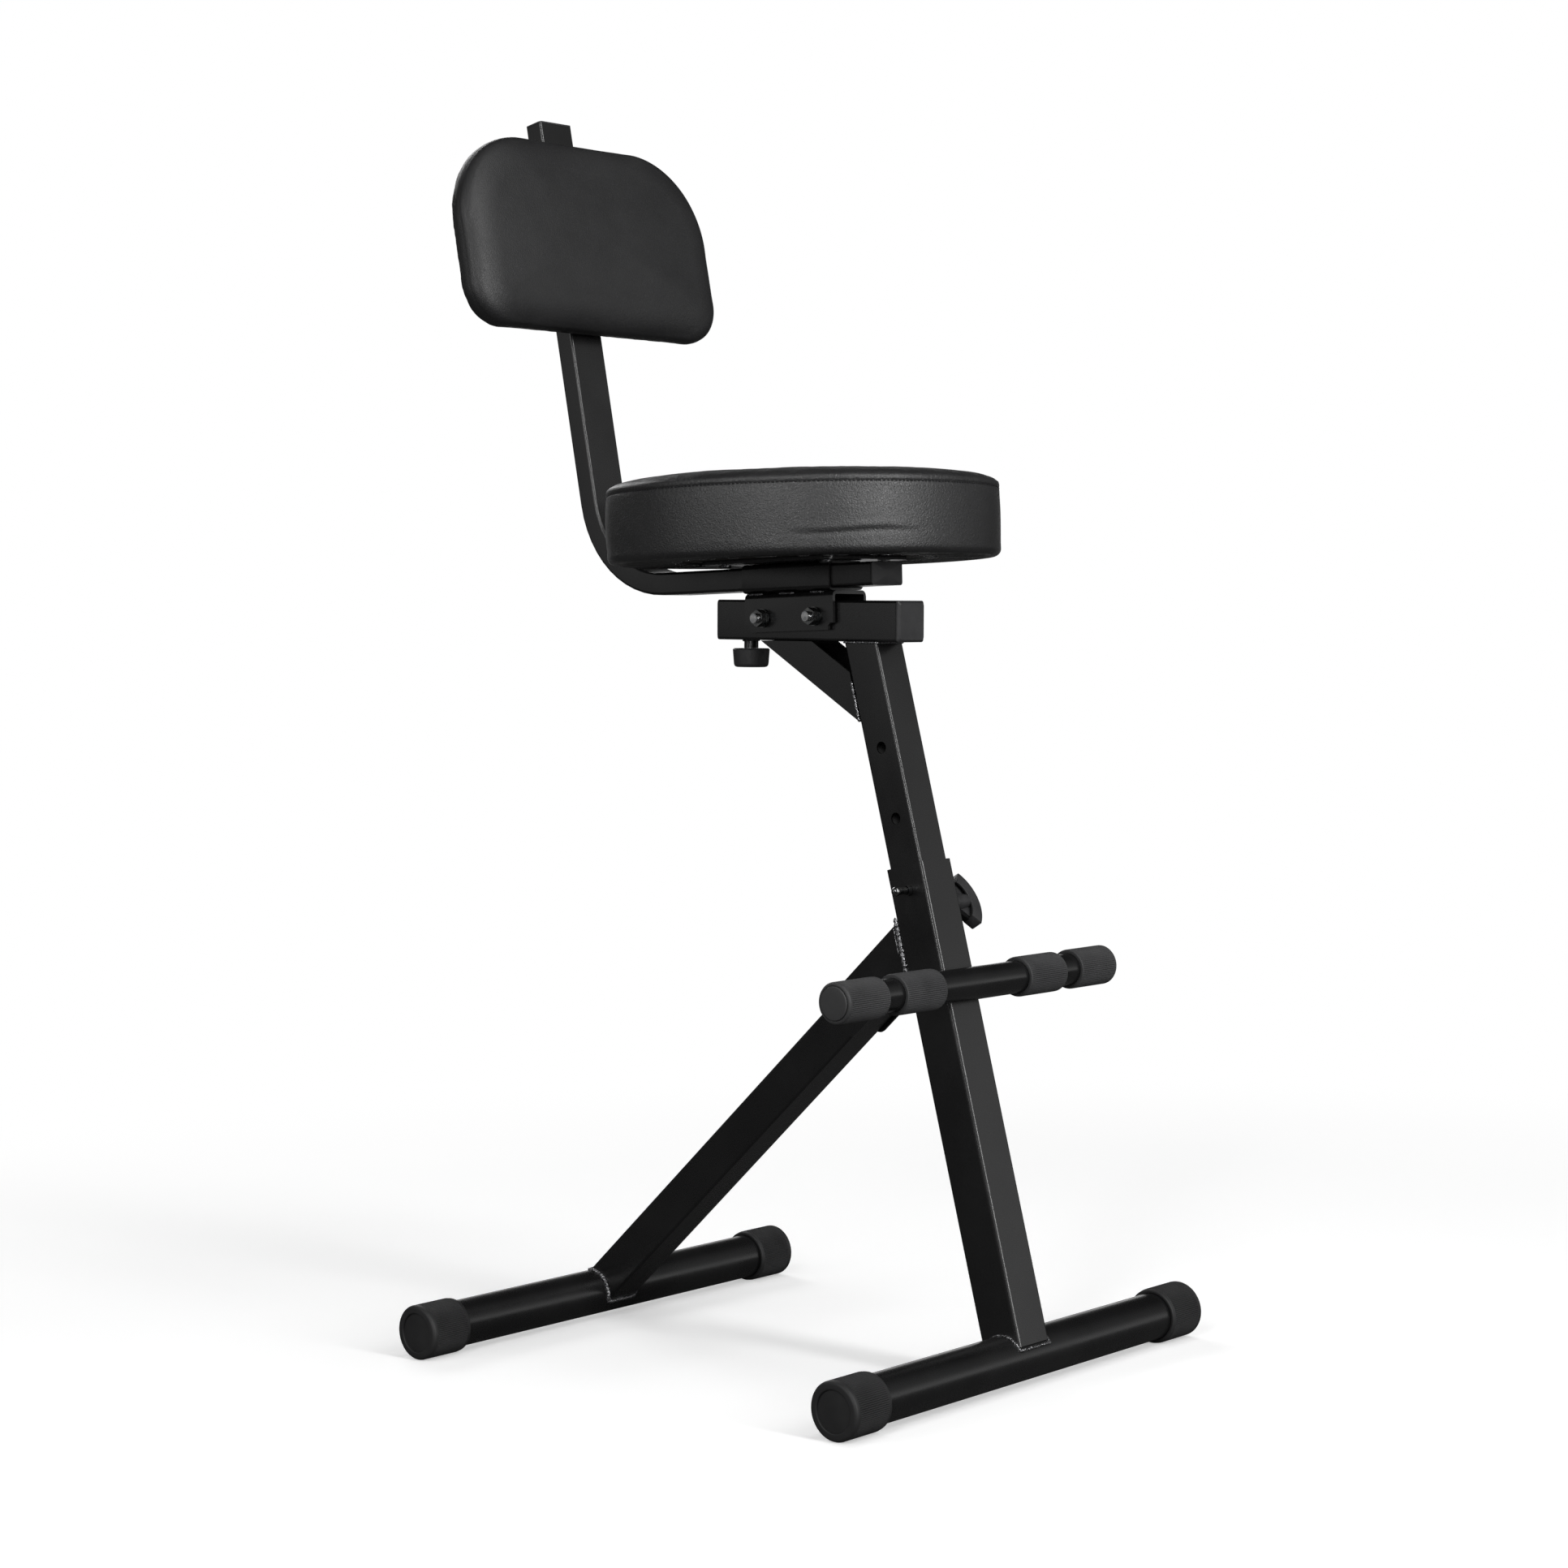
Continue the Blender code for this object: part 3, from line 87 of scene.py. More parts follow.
class Tree:
    """A node tree with short ways to add and join nodes."""

    def __init__(self, tree):
        self.tree = tree

    def add(self, kind, **settings):
        node = self.tree.nodes.new(kind)
        for key, value in settings.items():
            setattr(node, key, value)
        return node

    def join(self, source, target):
        self.tree.links.new(source, target)

    def give(self, socket, value):
        """Set a socket to a value, or join it to another node's output."""
        if isinstance(value, bpy.types.NodeSocket):
            self.join(value, socket)
        else:
            socket.default_value = value

    def feed(self, node, *values):
        """Give a node's first sockets these values or outputs."""
        for socket, value in zip(node.inputs, values):
            self.give(socket, value)

    def maths(self, kind, *values):
        node = self.add("ShaderNodeMath", operation=kind)
        self.feed(node, *values)
        return node.outputs[0]

    def vector(self, kind, *values):
        node = self.add("ShaderNodeVectorMath", operation=kind)
        self.feed(node, *values)
        return node.outputs

    def spread(self, value, start, end, low=0.0, high=1.0, smooth=False):
        """Carry the range from start to end over to low to high."""
        node = self.add("ShaderNodeMapRange")
        node.interpolation_type = "SMOOTHSTEP" if smooth else "LINEAR"
        keys = ("From Min", "From Max", "To Min", "To Max")
        for key, number in zip(keys, (start, end, low, high)):
            node.inputs[key].default_value = number
        self.join(value, node.inputs["Value"])
        return node.outputs["Result"]

    def blend(self, share, a, b):
        node = self.add("ShaderNodeMix", data_type="RGBA")
        self.join(share, node.inputs[0])
        for socket, value in ((node.inputs[6], a), (node.inputs[7], b)):
            self.give(socket, (*value, 1.0) if isinstance(value, tuple) else value)
        return node.outputs[2]


class Nodes(Tree):
    """A material of its own, made from noise and cells in the piece's own space."""

    def __init__(self, name):
        self.material = bpy.data.materials.new(name)
        self.material.use_nodes = True
        super().__init__(self.material.node_tree)
        self.shader = self.tree.nodes["Principled BSDF"]
        self.place = self.add("ShaderNodeTexCoord").outputs["Object"]

    def noise(self, scale, detail=3.0, rough=0.55, stretch=None):
        node = self.add("ShaderNodeTexNoise")
        for key, number in (("Scale", scale), ("Detail", detail), ("Roughness", rough)):
            node.inputs[key].default_value = number
        self.join(self.stretched(stretch) if stretch else self.place, node.inputs["Vector"])
        return node.outputs["Fac"]

    def cells(self, scale, feature="F1"):
        node = self.add("ShaderNodeTexVoronoi", feature=feature)
        node.inputs["Scale"].default_value = scale
        self.join(self.place, node.inputs["Vector"])
        return node.outputs["Distance"]

    def stretched(self, by):
        node = self.add("ShaderNodeMapping")
        node.inputs["Scale"].default_value = by
        self.join(self.place, node.inputs["Vector"])
        return node.outputs["Vector"]

    def wide(self, noise, low=0.0, high=1.0):
        """Carry a noise, whose values lie mostly in NOISE_RANGE, over to low to high."""
        return self.spread(noise, *NOISE_RANGE, low, high)

    def bumps(self, *layers):
        """Stack bump layers of (height, strength, distance in metres)."""
        normal = None
        for height, strength, distance in layers:
            node = self.add("ShaderNodeBump")
            node.inputs["Strength"].default_value = strength
            node.inputs["Distance"].default_value = distance
            self.join(height, node.inputs["Height"])
            if normal is not None:
                self.join(normal, node.inputs["Normal"])
            normal = node.outputs["Normal"]
        self.join(normal, self.shader.inputs["Normal"])

    def put(self, **sockets):
        for key, value in sockets.items():
            self.give(self.shader.inputs[key.replace("_", " ")], value)
        return self.material


def shades(dark, light):
    return (dark, dark, dark * 1.04), (light, light, light * 1.03)


def powder_coat():
    n = Nodes("powder_coat")
    cloud = n.noise(14.0, 4.0)
    peel = n.noise(620.0, 2.0)
    grit = n.noise(2600.0, 2.0)
    dust = n.spread(n.noise(1500.0, 1.0), 0.70, 0.76, smooth=True)
    colour = n.blend(n.wide(cloud), *shades(0.0045, 0.0070))
    colour = n.blend(n.maths("MULTIPLY", dust, 0.35), colour, (0.035, 0.035, 0.034))
    rough = n.maths("ADD", n.wide(cloud, 0.23, 0.31), n.wide(grit, -0.03, 0.03))
    n.bumps((peel, 0.03, 0.0003), (grit, 0.03, 0.0001))
    return n.put(Base_Color=colour, Roughness=rough, Specular_IOR_Level=0.75)


def weld_metal():
    n = Nodes("coated_weld_painted_glint")
    lump = n.noise(700.0, 3.0)
    grit = n.noise(2200.0, 3.0)
    # light grey where the lumps rise is a painted glint; the metal's own reflection adds real ones
    colour = n.blend(n.spread(lump, 0.40, 0.62), *shades(0.03, 0.42))
    rough = n.wide(grit, 0.14, 0.36)
    n.bumps((lump, 0.8, 0.0008), (grit, 0.5, 0.0003))
    return n.put(Base_Color=colour, Roughness=rough, Specular_IOR_Level=0.9, Metallic=0.8)


def rubber(name, dark, light, bloomed):
    n = Nodes(name)
    cloud = n.noise(40.0, 4.0)
    grain = n.noise(1900.0, 3.0)
    bloom = n.spread(n.noise(9.0, 5.0, 0.7), 0.45, 0.75, smooth=True)
    colour = n.blend(n.wide(cloud), *shades(dark, light))
    colour = n.blend(n.maths("MULTIPLY", bloom, 0.35), colour, (bloomed, bloomed, bloomed * 0.97))
    n.bumps((grain, 0.25, 0.0002))
    return n.put(Base_Color=colour, Roughness=n.wide(cloud, 0.52, 0.66), Specular_IOR_Level=0.45)


def plastic(name, dark, light, gloss):
    n = Nodes(name)
    cloud = n.noise(60.0, 3.0)
    grain = n.cells(1700.0)
    colour = n.blend(n.wide(cloud), *shades(dark, light))
    n.bumps((grain, 0.16, 0.0002), (n.noise(300.0), 0.06, 0.0004))
    return n.put(Base_Color=colour, Roughness=n.wide(cloud, 0.38, 0.50), Specular_IOR_Level=gloss)


def zinc(name, dark, light):
    n = Nodes(name)
    cloud = n.noise(260.0, 4.0)
    lines = n.noise(900.0, 2.0, stretch=(0.08, 1.0, 1.0))
    colour = n.blend(n.spread(cloud, 0.35, 0.65), dark, light)
    rough = n.maths("ADD", n.wide(cloud, 0.14, 0.30), n.wide(lines, -0.04, 0.06))
    n.bumps((lines, 0.12, 0.0002))
    return n.put(Base_Color=colour, Roughness=rough, Metallic=1.0)


def dark_screw():
    n = Nodes("oxide_screw")
    cloud = n.noise(500.0, 3.0)
    colour = n.blend(n.spread(cloud, 0.35, 0.65), (0.05, 0.05, 0.055), (0.13, 0.13, 0.13))
    n.bumps((n.noise(1500.0), 0.2, 0.0002))
    return n.put(Base_Color=colour, Roughness=n.wide(cloud, 0.28, 0.48), Metallic=1.0)


def plywood():
    n = Nodes("black_stained_plywood")
    grain = n.noise(160.0, 5.0, 0.6, stretch=(0.06, 1.0, 1.0))
    pores = n.spread(n.noise(900.0, 2.0, stretch=(0.05, 1.0, 1.0)), 0.55, 0.75)
    plies = n.add("ShaderNodeTexWave", wave_type="BANDS", bands_direction="Z")
    plies.inputs["Scale"].default_value = 110.0
    plies.inputs["Distortion"].default_value = 0.6
    n.join(n.place, plies.inputs["Vector"])
    colour = n.blend(n.wide(grain), (0.014, 0.012, 0.010), (0.034, 0.028, 0.022))
    colour = n.blend(n.maths("MULTIPLY", pores, 0.5), colour, (0.006, 0.005, 0.004))
    colour = n.blend(n.maths("MULTIPLY", plies.outputs["Fac"], 0.25), colour, (0.060, 0.045, 0.032))
    n.bumps((grain, 0.3, 0.0003))
    return n.put(Base_Color=colour, Roughness=n.wide(grain, 0.6, 0.8))


def faux_leather(name, size, depth, gloss):
    """Pebbled skin: size stretches the grain, depth scales its relief."""
    n = Nodes(name)
    warp = n.noise(420.0 / size, 2.0)
    pebbles = n.cells(1150.0 / size, feature="SMOOTH_F1")
    creases = n.cells(620.0 / size, feature="DISTANCE_TO_EDGE")
    crease = n.spread(creases, 0.0, 0.10, smooth=True)
    cloud = n.noise(22.0, 4.0)
    colour = n.blend(n.wide(cloud), *shades(0.0110, 0.0150))
    worn = n.maths("MULTIPLY", n.spread(pebbles, 0.25, 0.75), 0.3)
    colour = n.blend(worn, colour, (0.022, 0.022, 0.023))
    rough = n.maths("ADD", n.wide(cloud, 0.42, 0.50), n.spread(pebbles, 0.2, 0.7, -0.04, 0.05))
    n.bumps((warp, 0.20, 0.0006 * depth), (crease, 0.25, 0.0002 * depth),
            (pebbles, 0.45, 0.0003 * depth))
    return n.put(Base_Color=colour, Roughness=rough, Specular_IOR_Level=gloss)


def thread():
    n = Nodes("sewing_thread")
    twist = n.noise(2600.0, 2.0)
    colour = n.blend(n.wide(twist), (0.004, 0.004, 0.004), (0.016, 0.016, 0.017))
    n.bumps((twist, 0.5, 0.0002))
    return n.put(Base_Color=colour, Roughness=n.wide(twist, 0.6, 0.8), Specular_IOR_Level=0.3)


STEEL, WELD = powder_coat(), weld_metal()
PLASTIC = plastic("moulded_plastic", 0.028, 0.038, 0.42)
# a near-black copy of the plastic: painted shade for the grip's hollow
SHADE_PAINTED_PLASTIC = plastic("plastic_with_painted_shade", 0.004, 0.007, 0.15)
RUBBER = rubber("rubber", 0.014, 0.021, 0.036)
GRIP_RUBBER = rubber("grip_rubber", 0.034, 0.048, 0.066)
ZINC = zinc("bright_zinc", (0.40, 0.41, 0.43), (0.66, 0.66, 0.65))
DULL_ZINC = zinc("dull_zinc", (0.10, 0.105, 0.11), (0.24, 0.24, 0.235))
OXIDE, WOOD, THREAD = dark_screw(), plywood(), thread()
LEATHER = faux_leather("seat_leather", 1.5, 2.0, 0.78)
PAD_LEATHER = faux_leather("pad_leather", 1.1, 1.0, 0.50)
FINISH = {"black_powder_coat": STEEL, "black_rubber": RUBBER, "black_plastic": PLASTIC,
          "bright_steel": ZINC, "dark_fastener": OXIDE, "plywood": WOOD, "faux_leather": LEATHER}


# Nodes kept from the frame

def dress(node, material):
    """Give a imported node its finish, with its flat faces flat and its round ones smooth."""
    mesh = node.data
    if "custom_normal" in mesh.attributes:
        mesh.attributes.remove(mesh.attributes["custom_normal"])
    mesh.polygons.foreach_set("use_smooth", [True] * len(mesh.polygons))
    mesh.materials.clear()
    mesh.materials.append(material)
    node.modifiers.new("weld", "WELD").merge_threshold = 1e-5
    node.modifiers.new("split", "EDGE_SPLIT").split_angle = math.radians(35)
    weighted = node.modifiers.new("weighted", "WEIGHTED_NORMAL")
    weighted.mode = "FACE_AREA"
    weighted.weight = 90
    weighted.keep_sharp = True


DULL_PIECES = ("saddle_nut", "saddle_washer", "index_pin")
for part in frame["record"]["subparts"]:
    dull = part["material_slot"] == "bright_steel" and part["node"].startswith(DULL_PIECES)
    dress(frame["nodes"][part["node"]], DULL_ZINC if dull else FINISH[part["material_slot"]])


# Mesh building

def lean_frame(spot, lean):
    """Local axes of a piece that leans by an angle about X."""
    return Matrix.Translation(spot) @ Matrix.Rotation(-lean, 4, "X")


def sideways(spot, sign):
    """Local axes whose Z runs along +X or -X."""
    return Matrix.Translation(spot) @ Matrix.Rotation(math.pi / 2 * sign, 4, "Y")


def in_frame(matrix, points):
    """Points given in local axes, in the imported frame."""
    m = np.array(matrix)
    return np.asarray(points, float) @ m[:3, :3].T + m[:3, 3]


def placed(name, data):
    """A new object in the scene."""
    obj = bpy.data.objects.new(name, data)
    bpy.context.scene.collection.objects.link(obj)
    return obj


def piece(name, points, faces, material, body, matrix=None, replaces=(), sharp=0):
    """Turn points and faces into a named piece that rides on a body.

    Edges bent by more than sharp degrees stay hard, and none do where sharp is 0."""
    mesh = bpy.data.meshes.new(name)
    if matrix is not None:
        points = in_frame(matrix, points)
    mesh.from_pydata(np.asarray(points, float).tolist(), [], faces)
    mesh.polygons.foreach_set("use_smooth", [True] * len(mesh.polygons))
    mesh.materials.append(material)
    mesh.validate()
    obj = placed(name, mesh)
    if sharp:
        mesh.set_sharp_from_angle(angle=math.radians(sharp))
    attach(obj, body)
    if replaces:
        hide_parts(*replaces)
    return obj


def grid_faces(rings, count):
    """Quads between closed rings of equal count."""
    faces = []
    for j in range(rings - 1):
        a = j * count
        b = a + count
        faces += [(a + i, a + (i + 1) % count, b + (i + 1) % count, b + i) for i in range(count)]
    return faces


def closed(rings):
    """Points and faces of rings closed by a fan at each end."""
    rings = np.asarray(rings, float)
    total, count = rings.shape[:2]
    points = rings.reshape(-1, 3)
    points = np.vstack([points, rings[0].mean(0), rings[-1].mean(0)])
    low, high = total * count, total * count + 1
    faces = grid_faces(total, count)
    top = (total - 1) * count
    faces += [((i + 1) % count, i, low) for i in range(count)]
    faces += [(top + i, top + (i + 1) % count, high) for i in range(count)]
    return points, faces


def looped(rings):
    """Points and faces of rings whose last one joins the first."""
    rings = np.asarray(rings, float)
    total, count = rings.shape[:2]
    faces = grid_faces(total, count)
    last = (total - 1) * count
    faces += [(last + i, last + (i + 1) % count, (i + 1) % count, i) for i in range(count)]
    return rings.reshape(-1, 3), faces


def add_closed(points, faces, rings):
    """Add a closed form to the points and faces of a piece that has many."""
    own, own_faces = closed(rings)
    base = len(points)
    points += own.tolist()
    faces += [tuple(base + i for i in face) for face in own_faces]


def turned(profile, count, ribs=0, depth=0.0):
    """Rings of a turned form; profile has (radius, height, share of the rib depth)."""
    angles = np.arange(count) * TAU / count
    groove = np.abs(np.cos(angles * ribs / 2)) ** RIB_SHAPE if ribs else np.zeros(count)
    rings = []
    for radius, height, share in profile:
        r = np.maximum(radius - depth * share * groove, 0)
        rings.append(np.stack([r * np.cos(angles), r * np.sin(angles), np.full(count, height)], 1))
    return rings


def quarter(radius, height, size, start, end, steps):
    """Points of an arc about (radius, height), from one angle to another in degrees."""
    out = []
    for i in range(steps + 1):
        a = math.radians(start + (end - start) * i / steps)
        out.append((radius + size * math.cos(a), height + size * math.sin(a), 0.0))
    return out


def unit(rows):
    """Rows scaled to length one."""
    return rows / np.linalg.norm(rows, axis=1)[:, None]


def reach_along(line):
    """Distance of each point of a line from its first one, along it."""
    steps = np.linalg.norm(np.diff(line, axis=0), axis=1)
    return np.concatenate([[0], np.cumsum(steps)])


def read_off(rows, reach, stops):
    """Rows interpolated at the stops, where reach has each row's own distance."""
    return np.stack([np.interp(stops, reach, column) for column in rows.T], 1)


# Ribbed rubber

RIB_SAMPLES = 6
RIB_DEPTH = 0.00065
RIB_SHAPE = 4
CAP_RIBS = (88 * RIB_SAMPLES, 88, RIB_DEPTH)
GRIP_RIBS = (62 * RIB_SAMPLES, 62, RIB_DEPTH)
CAP_START, CAP_RADIUS, CAP_LENGTH = 0.191, 0.024, 0.044


def foot_cap(name, x_open, sign, spot_y):
    """Ribbed cap: smooth band at the tube, fine ribs, round rim and a sunk end disc."""
    r, length = CAP_RADIUS, CAP_LENGTH
    profile = [(0.0206, 0.0004, 0), (0.0222, 0.0, 0), (0.0231, 0.0003, 0), (0.02345, 0.0010, 0),
               (0.02345, 0.0030, 0), (0.02365, 0.0034, 0.2), (r, 0.0038, 1), (r, 0.0040, 1)]
    profile += [(r, 0.0040 + 0.0340 * i / 6, 1) for i in range(1, 7)]
    profile += [(r, 0.0386, 0.6), (r, 0.0392, 0.0), (r - 0.00005, 0.0400, 0)]
    profile += quarter(r - 0.0030, length - 0.0032, 0.0030, 0, 90, 6)
    profile += [(0.0182, length, 0)]
    profile += quarter(0.0178, length - 0.0010, 0.0010, 90, 180, 3)
    profile += [(0.0165, length - 0.0017, 0), (0.0145, length - 0.0016, 0),
                (0.0080, length - 0.0012, 0), (0.0030, length - 0.0010, 0)]
    inner = [(0.0030, 0.0385, 0), (0.0195, 0.0385, 0), (0.0206, 0.0370, 0)]
    points, faces = closed(turned(inner + profile, *CAP_RIBS))
    piece(name + "_ribbed", points, faces, RUBBER, "frame",
          sideways((x_open, spot_y, r), sign), [name], 50)


for side, sign in SIDES:
    foot_cap(f"front_{side}_foot_cap", sign * CAP_START, sign, LEG_SPOT[1])
    foot_cap(f"rear_{side}_foot_cap", sign * CAP_START, sign, REAR_SPOT[1])


def foot_grip(name, x_start, sign, outer):
    """Ribbed footrest sleeve; the outer ones are closed by a raised disc in a ring groove."""
    r, bore = 0.017, 0.01385
    length, ribbed = (0.0515, 0.0455) if outer else (0.051, 0.0474)
    profile = [(bore, 0.0003, 0), (r - 0.0010, 0.0, 0), (r - 0.00035, 0.0003, 0),
               (r - 0.0001, 0.0010, 0.3), (r, 0.0018, 1)]
    profile += [(r, 0.0018 + ribbed * i / 8, 1) for i in range(1, 9)]
    if outer:
        profile += [(r, 0.0481, 0.5), (r - 0.0001, 0.0488, 0)]
        profile += quarter(r - 0.0023, length - 0.0010 - 0.0022, 0.0022, 5, 90, 5)
        profile += [(0.01445, length - 0.0010, 0), (0.01430, length - 0.0018, 0),
                    (0.01385, length - 0.0019, 0), (0.01370, length - 0.0012, 0)]
        profile += quarter(0.0128, length - 0.0009, 0.0009, 0, 90, 4)
        profile += [(0.0080, length + 0.0001, 0), (0.0030, length + 0.0001, 0)]
        inner = [(0.0030, length - 0.0045, 0), (bore - 0.001, length - 0.0045, 0),
                 (bore, length - 0.0055, 0)]
        points, faces = closed(turned(inner + profile, *GRIP_RIBS))
    else:
        profile += [(r - 0.0001, 0.0500, 0.3), (r - 0.00035, 0.0507, 0), (r - 0.0010, length, 0),
                    (bore, length - 0.0003, 0)]
        points, faces = looped(turned(profile, *GRIP_RIBS))
    piece(name + "_ribbed", points, faces, GRIP_RUBBER, "frame",
          sideways((x_start, FOOTREST_SPOT[1], FOOTREST_SPOT[2]), sign), [name], 50)


for side, sign in SIDES:
    foot_grip(f"footrest_{side}_outer_grip", sign * 0.129, sign, True)
    foot_grip(f"footrest_{side}_inner_grip", sign * 0.0565, sign, False)


# Clamp grip

def channel(width, outer, inner, skin, floor, bevel):
    """An (across, radius) section that is open inwards, with its outer corners rounded."""
    w = width / 2
    points = []
    for cx, q in ((w - bevel, 0), (-w + bevel, 1)):
        for s in range(5):
            a = math.pi / 2 * (q + s / 4)
            points.append((cx + bevel * math.cos(a), outer - bevel + bevel * math.sin(a)))
    small, left, right = bevel / 3, -w + skin, w - skin
    points += [(-w, inner + small), (-w + small, inner), (left - small, inner),
               (left, inner + small), (left, floor - small), (left + small, floor),
               (right - small, floor), (right, floor - small), (right, inner + small),
               (right + small, inner), (w - small, inner), (w, inner + small)]
    return points


def clamp_grip():
    """Half-moon handle, hollow on its inner side, with a hub, a floor and two webs."""
    reach, radius, band, half_span, width = 0.058, 0.033, 0.011, 0.0245, 0.012
    axis = sideways(CLAMP_SPOT, 1)
    turn = Matrix.Rotation(CLAMP_TURN, 4, "Z")
    matrix = axis @ turn @ Matrix.Translation((0, 0, reach - radius))
    sweep = math.asin(half_span / radius)
    rings = []
    ends = 0.0016 / radius / sweep / 2
    # (share of the sweep, inset, share of the hollow's depth)
    stops = [(0.0, 0.0008, 0.0002), (ends / 3, 0.0, 0.0002), (ends, 0.0, 0.0002),
             (ends * 1.1, 0.0, 1.0)]
    stops += [(ends * 1.1 + (1 - 2.2 * ends) * i / 36, 0.0, 1.0) for i in range(1, 36)]
    stops += [(1 - t, inset, deep) for t, inset, deep in reversed(stops[:4])]
    for t, inset, deep in stops:
        a = sweep * (2 * t - 1)
        outer, inner = radius - inset, radius - band + inset
        floor_radius = inner + 0.0006 + (radius - 0.0026 - inner - 0.0006) * deep
        ring = channel(width - 2 * inset, outer, inner, 0.0020, floor_radius, 0.0010)
        rings.append([(x, y * math.sin(a), y * math.cos(a)) for x, y in ring])
    rings = np.asarray(rings)
    total, count = rings.shape[:2]
    faces = grid_faces(total, count)
    faces += [tuple(reversed(range(count))), tuple(range((total - 1) * count, total * count))]
    piece("clamp_grip_crown", rings.reshape(-1, 3), faces, PLASTIC, "clamp",
          matrix, ["clamp_grip"], 40)
    profile = [(0.0045, 0.0269, 0), (0.0068, 0.0269, 0), (0.0075, 0.0276, 0), (0.0073, 0.0380, 0),
               (0.0056, 0.0500, 0), (0.0040, 0.0545, 0)]
    points, faces = closed(turned(profile, 48))
    piece("clamp_grip_hub", points, faces, PLASTIC, "clamp", axis, sharp=40)
    low, high = radius - reach + 0.0285, radius - band + 0.001
    half = [(0.0080, low)]
    for t in range(6, -1, -1):
        half.append((high * math.sin(sweep * t / 6), high * math.cos(sweep * t / 6)))
    outline = half + [(-y, z) for y, z in reversed(half[:-1])]
    skins = ((-0.0008, 0.0004), (-0.0004, 0.0), (0.0050, 0.0), (0.0054, 0.0004))
    layers = [[(x, y * (1 - inset / 0.012), z) for y, z in outline] for x, inset in skins]
    points, faces = closed(layers)
    # the hollow's floor is near-black plastic: painted shade in the recess
    piece("clamp_grip_floor", points, faces, SHADE_PAINTED_PLASTIC, "clamp", matrix,
          sharp=40)
    points, faces = [], []
    for sign in (-1, 1):
        shape = [(0.0060, 0.0340), (0.0050, 0.0545), (0.0150, 0.0520), (0.0185, 0.0460)]
        base = len(points)
        for x in (-0.0011, 0.0011):
            points += [(x, y * sign, z) for y, z in shape]
        faces += [tuple(base + i for i in (3, 2, 1, 0)), tuple(base + i for i in (4, 5, 6, 7))]
        for i in range(4):
            j = (i + 1) % 4
            faces.append((base + i, base + j, base + 4 + j, base + 4 + i))
    piece("clamp_grip_webs", points, faces, PLASTIC, "clamp", axis @ turn,
          sharp=30)


CLAMP_TURN = math.radians(60.0)
clamp_grip()


# Fasteners

def thread_rings(name, matrix, radius, low, high, body, pitch=0.00125):
    """Fine thread on a bolt's end."""
    profile = [(0.0004, low, 0), (radius - 0.0002, low, 0)]
    turns = int((high - low - 0.0006) / pitch * 2)
    for i in range(turns + 1):
        profile.append((radius + (0.00015 if i % 2 else -0.00020), low + 0.0003 + i * pitch / 2, 0))
    profile += [(radius - 0.0007, high, 0), (0.0004, high + 0.0001, 0)]
    points, faces = closed(turned(profile, 36))
    piece(name, points, faces, ZINC, body, matrix, sharp=25)


for which in ("front", "rear"):
    low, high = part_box(f"saddle_bolt_{which}")
    nut_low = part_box(f"saddle_nut_{which}")[0]
    centre = (low + high) / 2
    thread_rings(f"saddle_bolt_{which}_thread", sideways((0, centre.y, centre.z), -1), 0.004,
                 -nut_low.x - 0.0005, -low.x + 0.00015, "seat_post")


# Weld beads

def waves(values, seed, count=5, low=0.6, high=2.4):
    """A smooth repeatable wobble of about unit size along values."""
    total = np.zeros_like(values, dtype=float)
    for k in range(count):
        rate = low + (high - low) * ((seed * 0.618 + k * 0.381) % 1.0)
        total += np.sin(values * rate * (k + 1) + seed * 1.7 + k * 2.3) / (k + 1)
    return total / 1.6


BEAD_STEP = 0.0006
BEAD_FLAT = 0.8
BEAD_LUMPS = 0.20


def bead(name, path, radius, body, seed, pitch=0.0022, loop=False):
    """A weld bead: a lumpy rounded cord along a path."""
    path = np.asarray(path, float)
    if loop:
        path = np.vstack([path, path[:1]])
    along = reach_along(path)
    total = max(int(along[-1] / BEAD_STEP), 6)
    s = np.linspace(0, along[-1], total + 1)
    line = read_off(path, along, s)
    if loop:
        line, s = line[:-1], s[:-1]
    forward = unit(np.gradient(line, axis=0))
    side = unit(np.cross(forward, (0.37, 0.21, 0.91)))
    up = np.cross(side, forward)
    ripple = np.abs(np.sin(math.pi * s / pitch + 0.6 * waves(s * 300, seed)))
    size = radius * (0.88 + 0.16 * ripple + BEAD_LUMPS * waves(s * 900, seed + 3))
    line = line + side * (radius * 0.16 * waves(s * 500, seed + 5))[:, None]
    count = 12
    angles = np.arange(count) * TAU / count
    rings = []
    for i in range(len(line)):
        own = size[i] * (1 + 0.12 * np.sin(3 * angles + s[i] * 2100 + seed))
        fade = 1.0
        if not loop:
            fade = min(1.0, math.sqrt(min(s[i], s[-1] - s[i]) / (radius * 1.6) + 0.02))
        ways = np.cos(angles)[:, None] * side[i] + BEAD_FLAT * np.sin(angles)[:, None] * up[i]
        rings.append(line[i] + fade * own[:, None] * ways)
    points, faces = looped(rings) if loop else closed(rings)
    piece(name, points, faces, WELD, body)


def box_path(half_x, half_y, corner, steps=10):
    """Points round a rounded rectangle."""
    out = []
    x, y = half_x - corner, half_y - corner
    for cx, cy, q in ((x, y, 0), (-x, y, 1), (-x, -y, 2), (x, -y, 3)):
        for i in range(steps + 1):
            a = math.pi / 2 * (q + i / steps)
            out.append((cx + corner * math.cos(a), cy + corner * math.sin(a)))
    ends = []
    for (x0, y0), (x1, y1) in zip(out, out[1:] + out[:1]):
        far = math.hypot(x1 - x0, y1 - y0)
        cuts = max(1, int(far / 0.002))
        ends += [(x0 + (x1 - x0) * i / cuts, y0 + (y1 - y0) * i / cuts) for i in range(cuts)]
    return ends


LEG = lean_frame(LEG_SPOT, LEG_LEAN)
REAR = lean_frame(REAR_SPOT, REAR_LEAN)
HEAD = lean_frame(HEAD_SPOT, HEAD_LEAN)


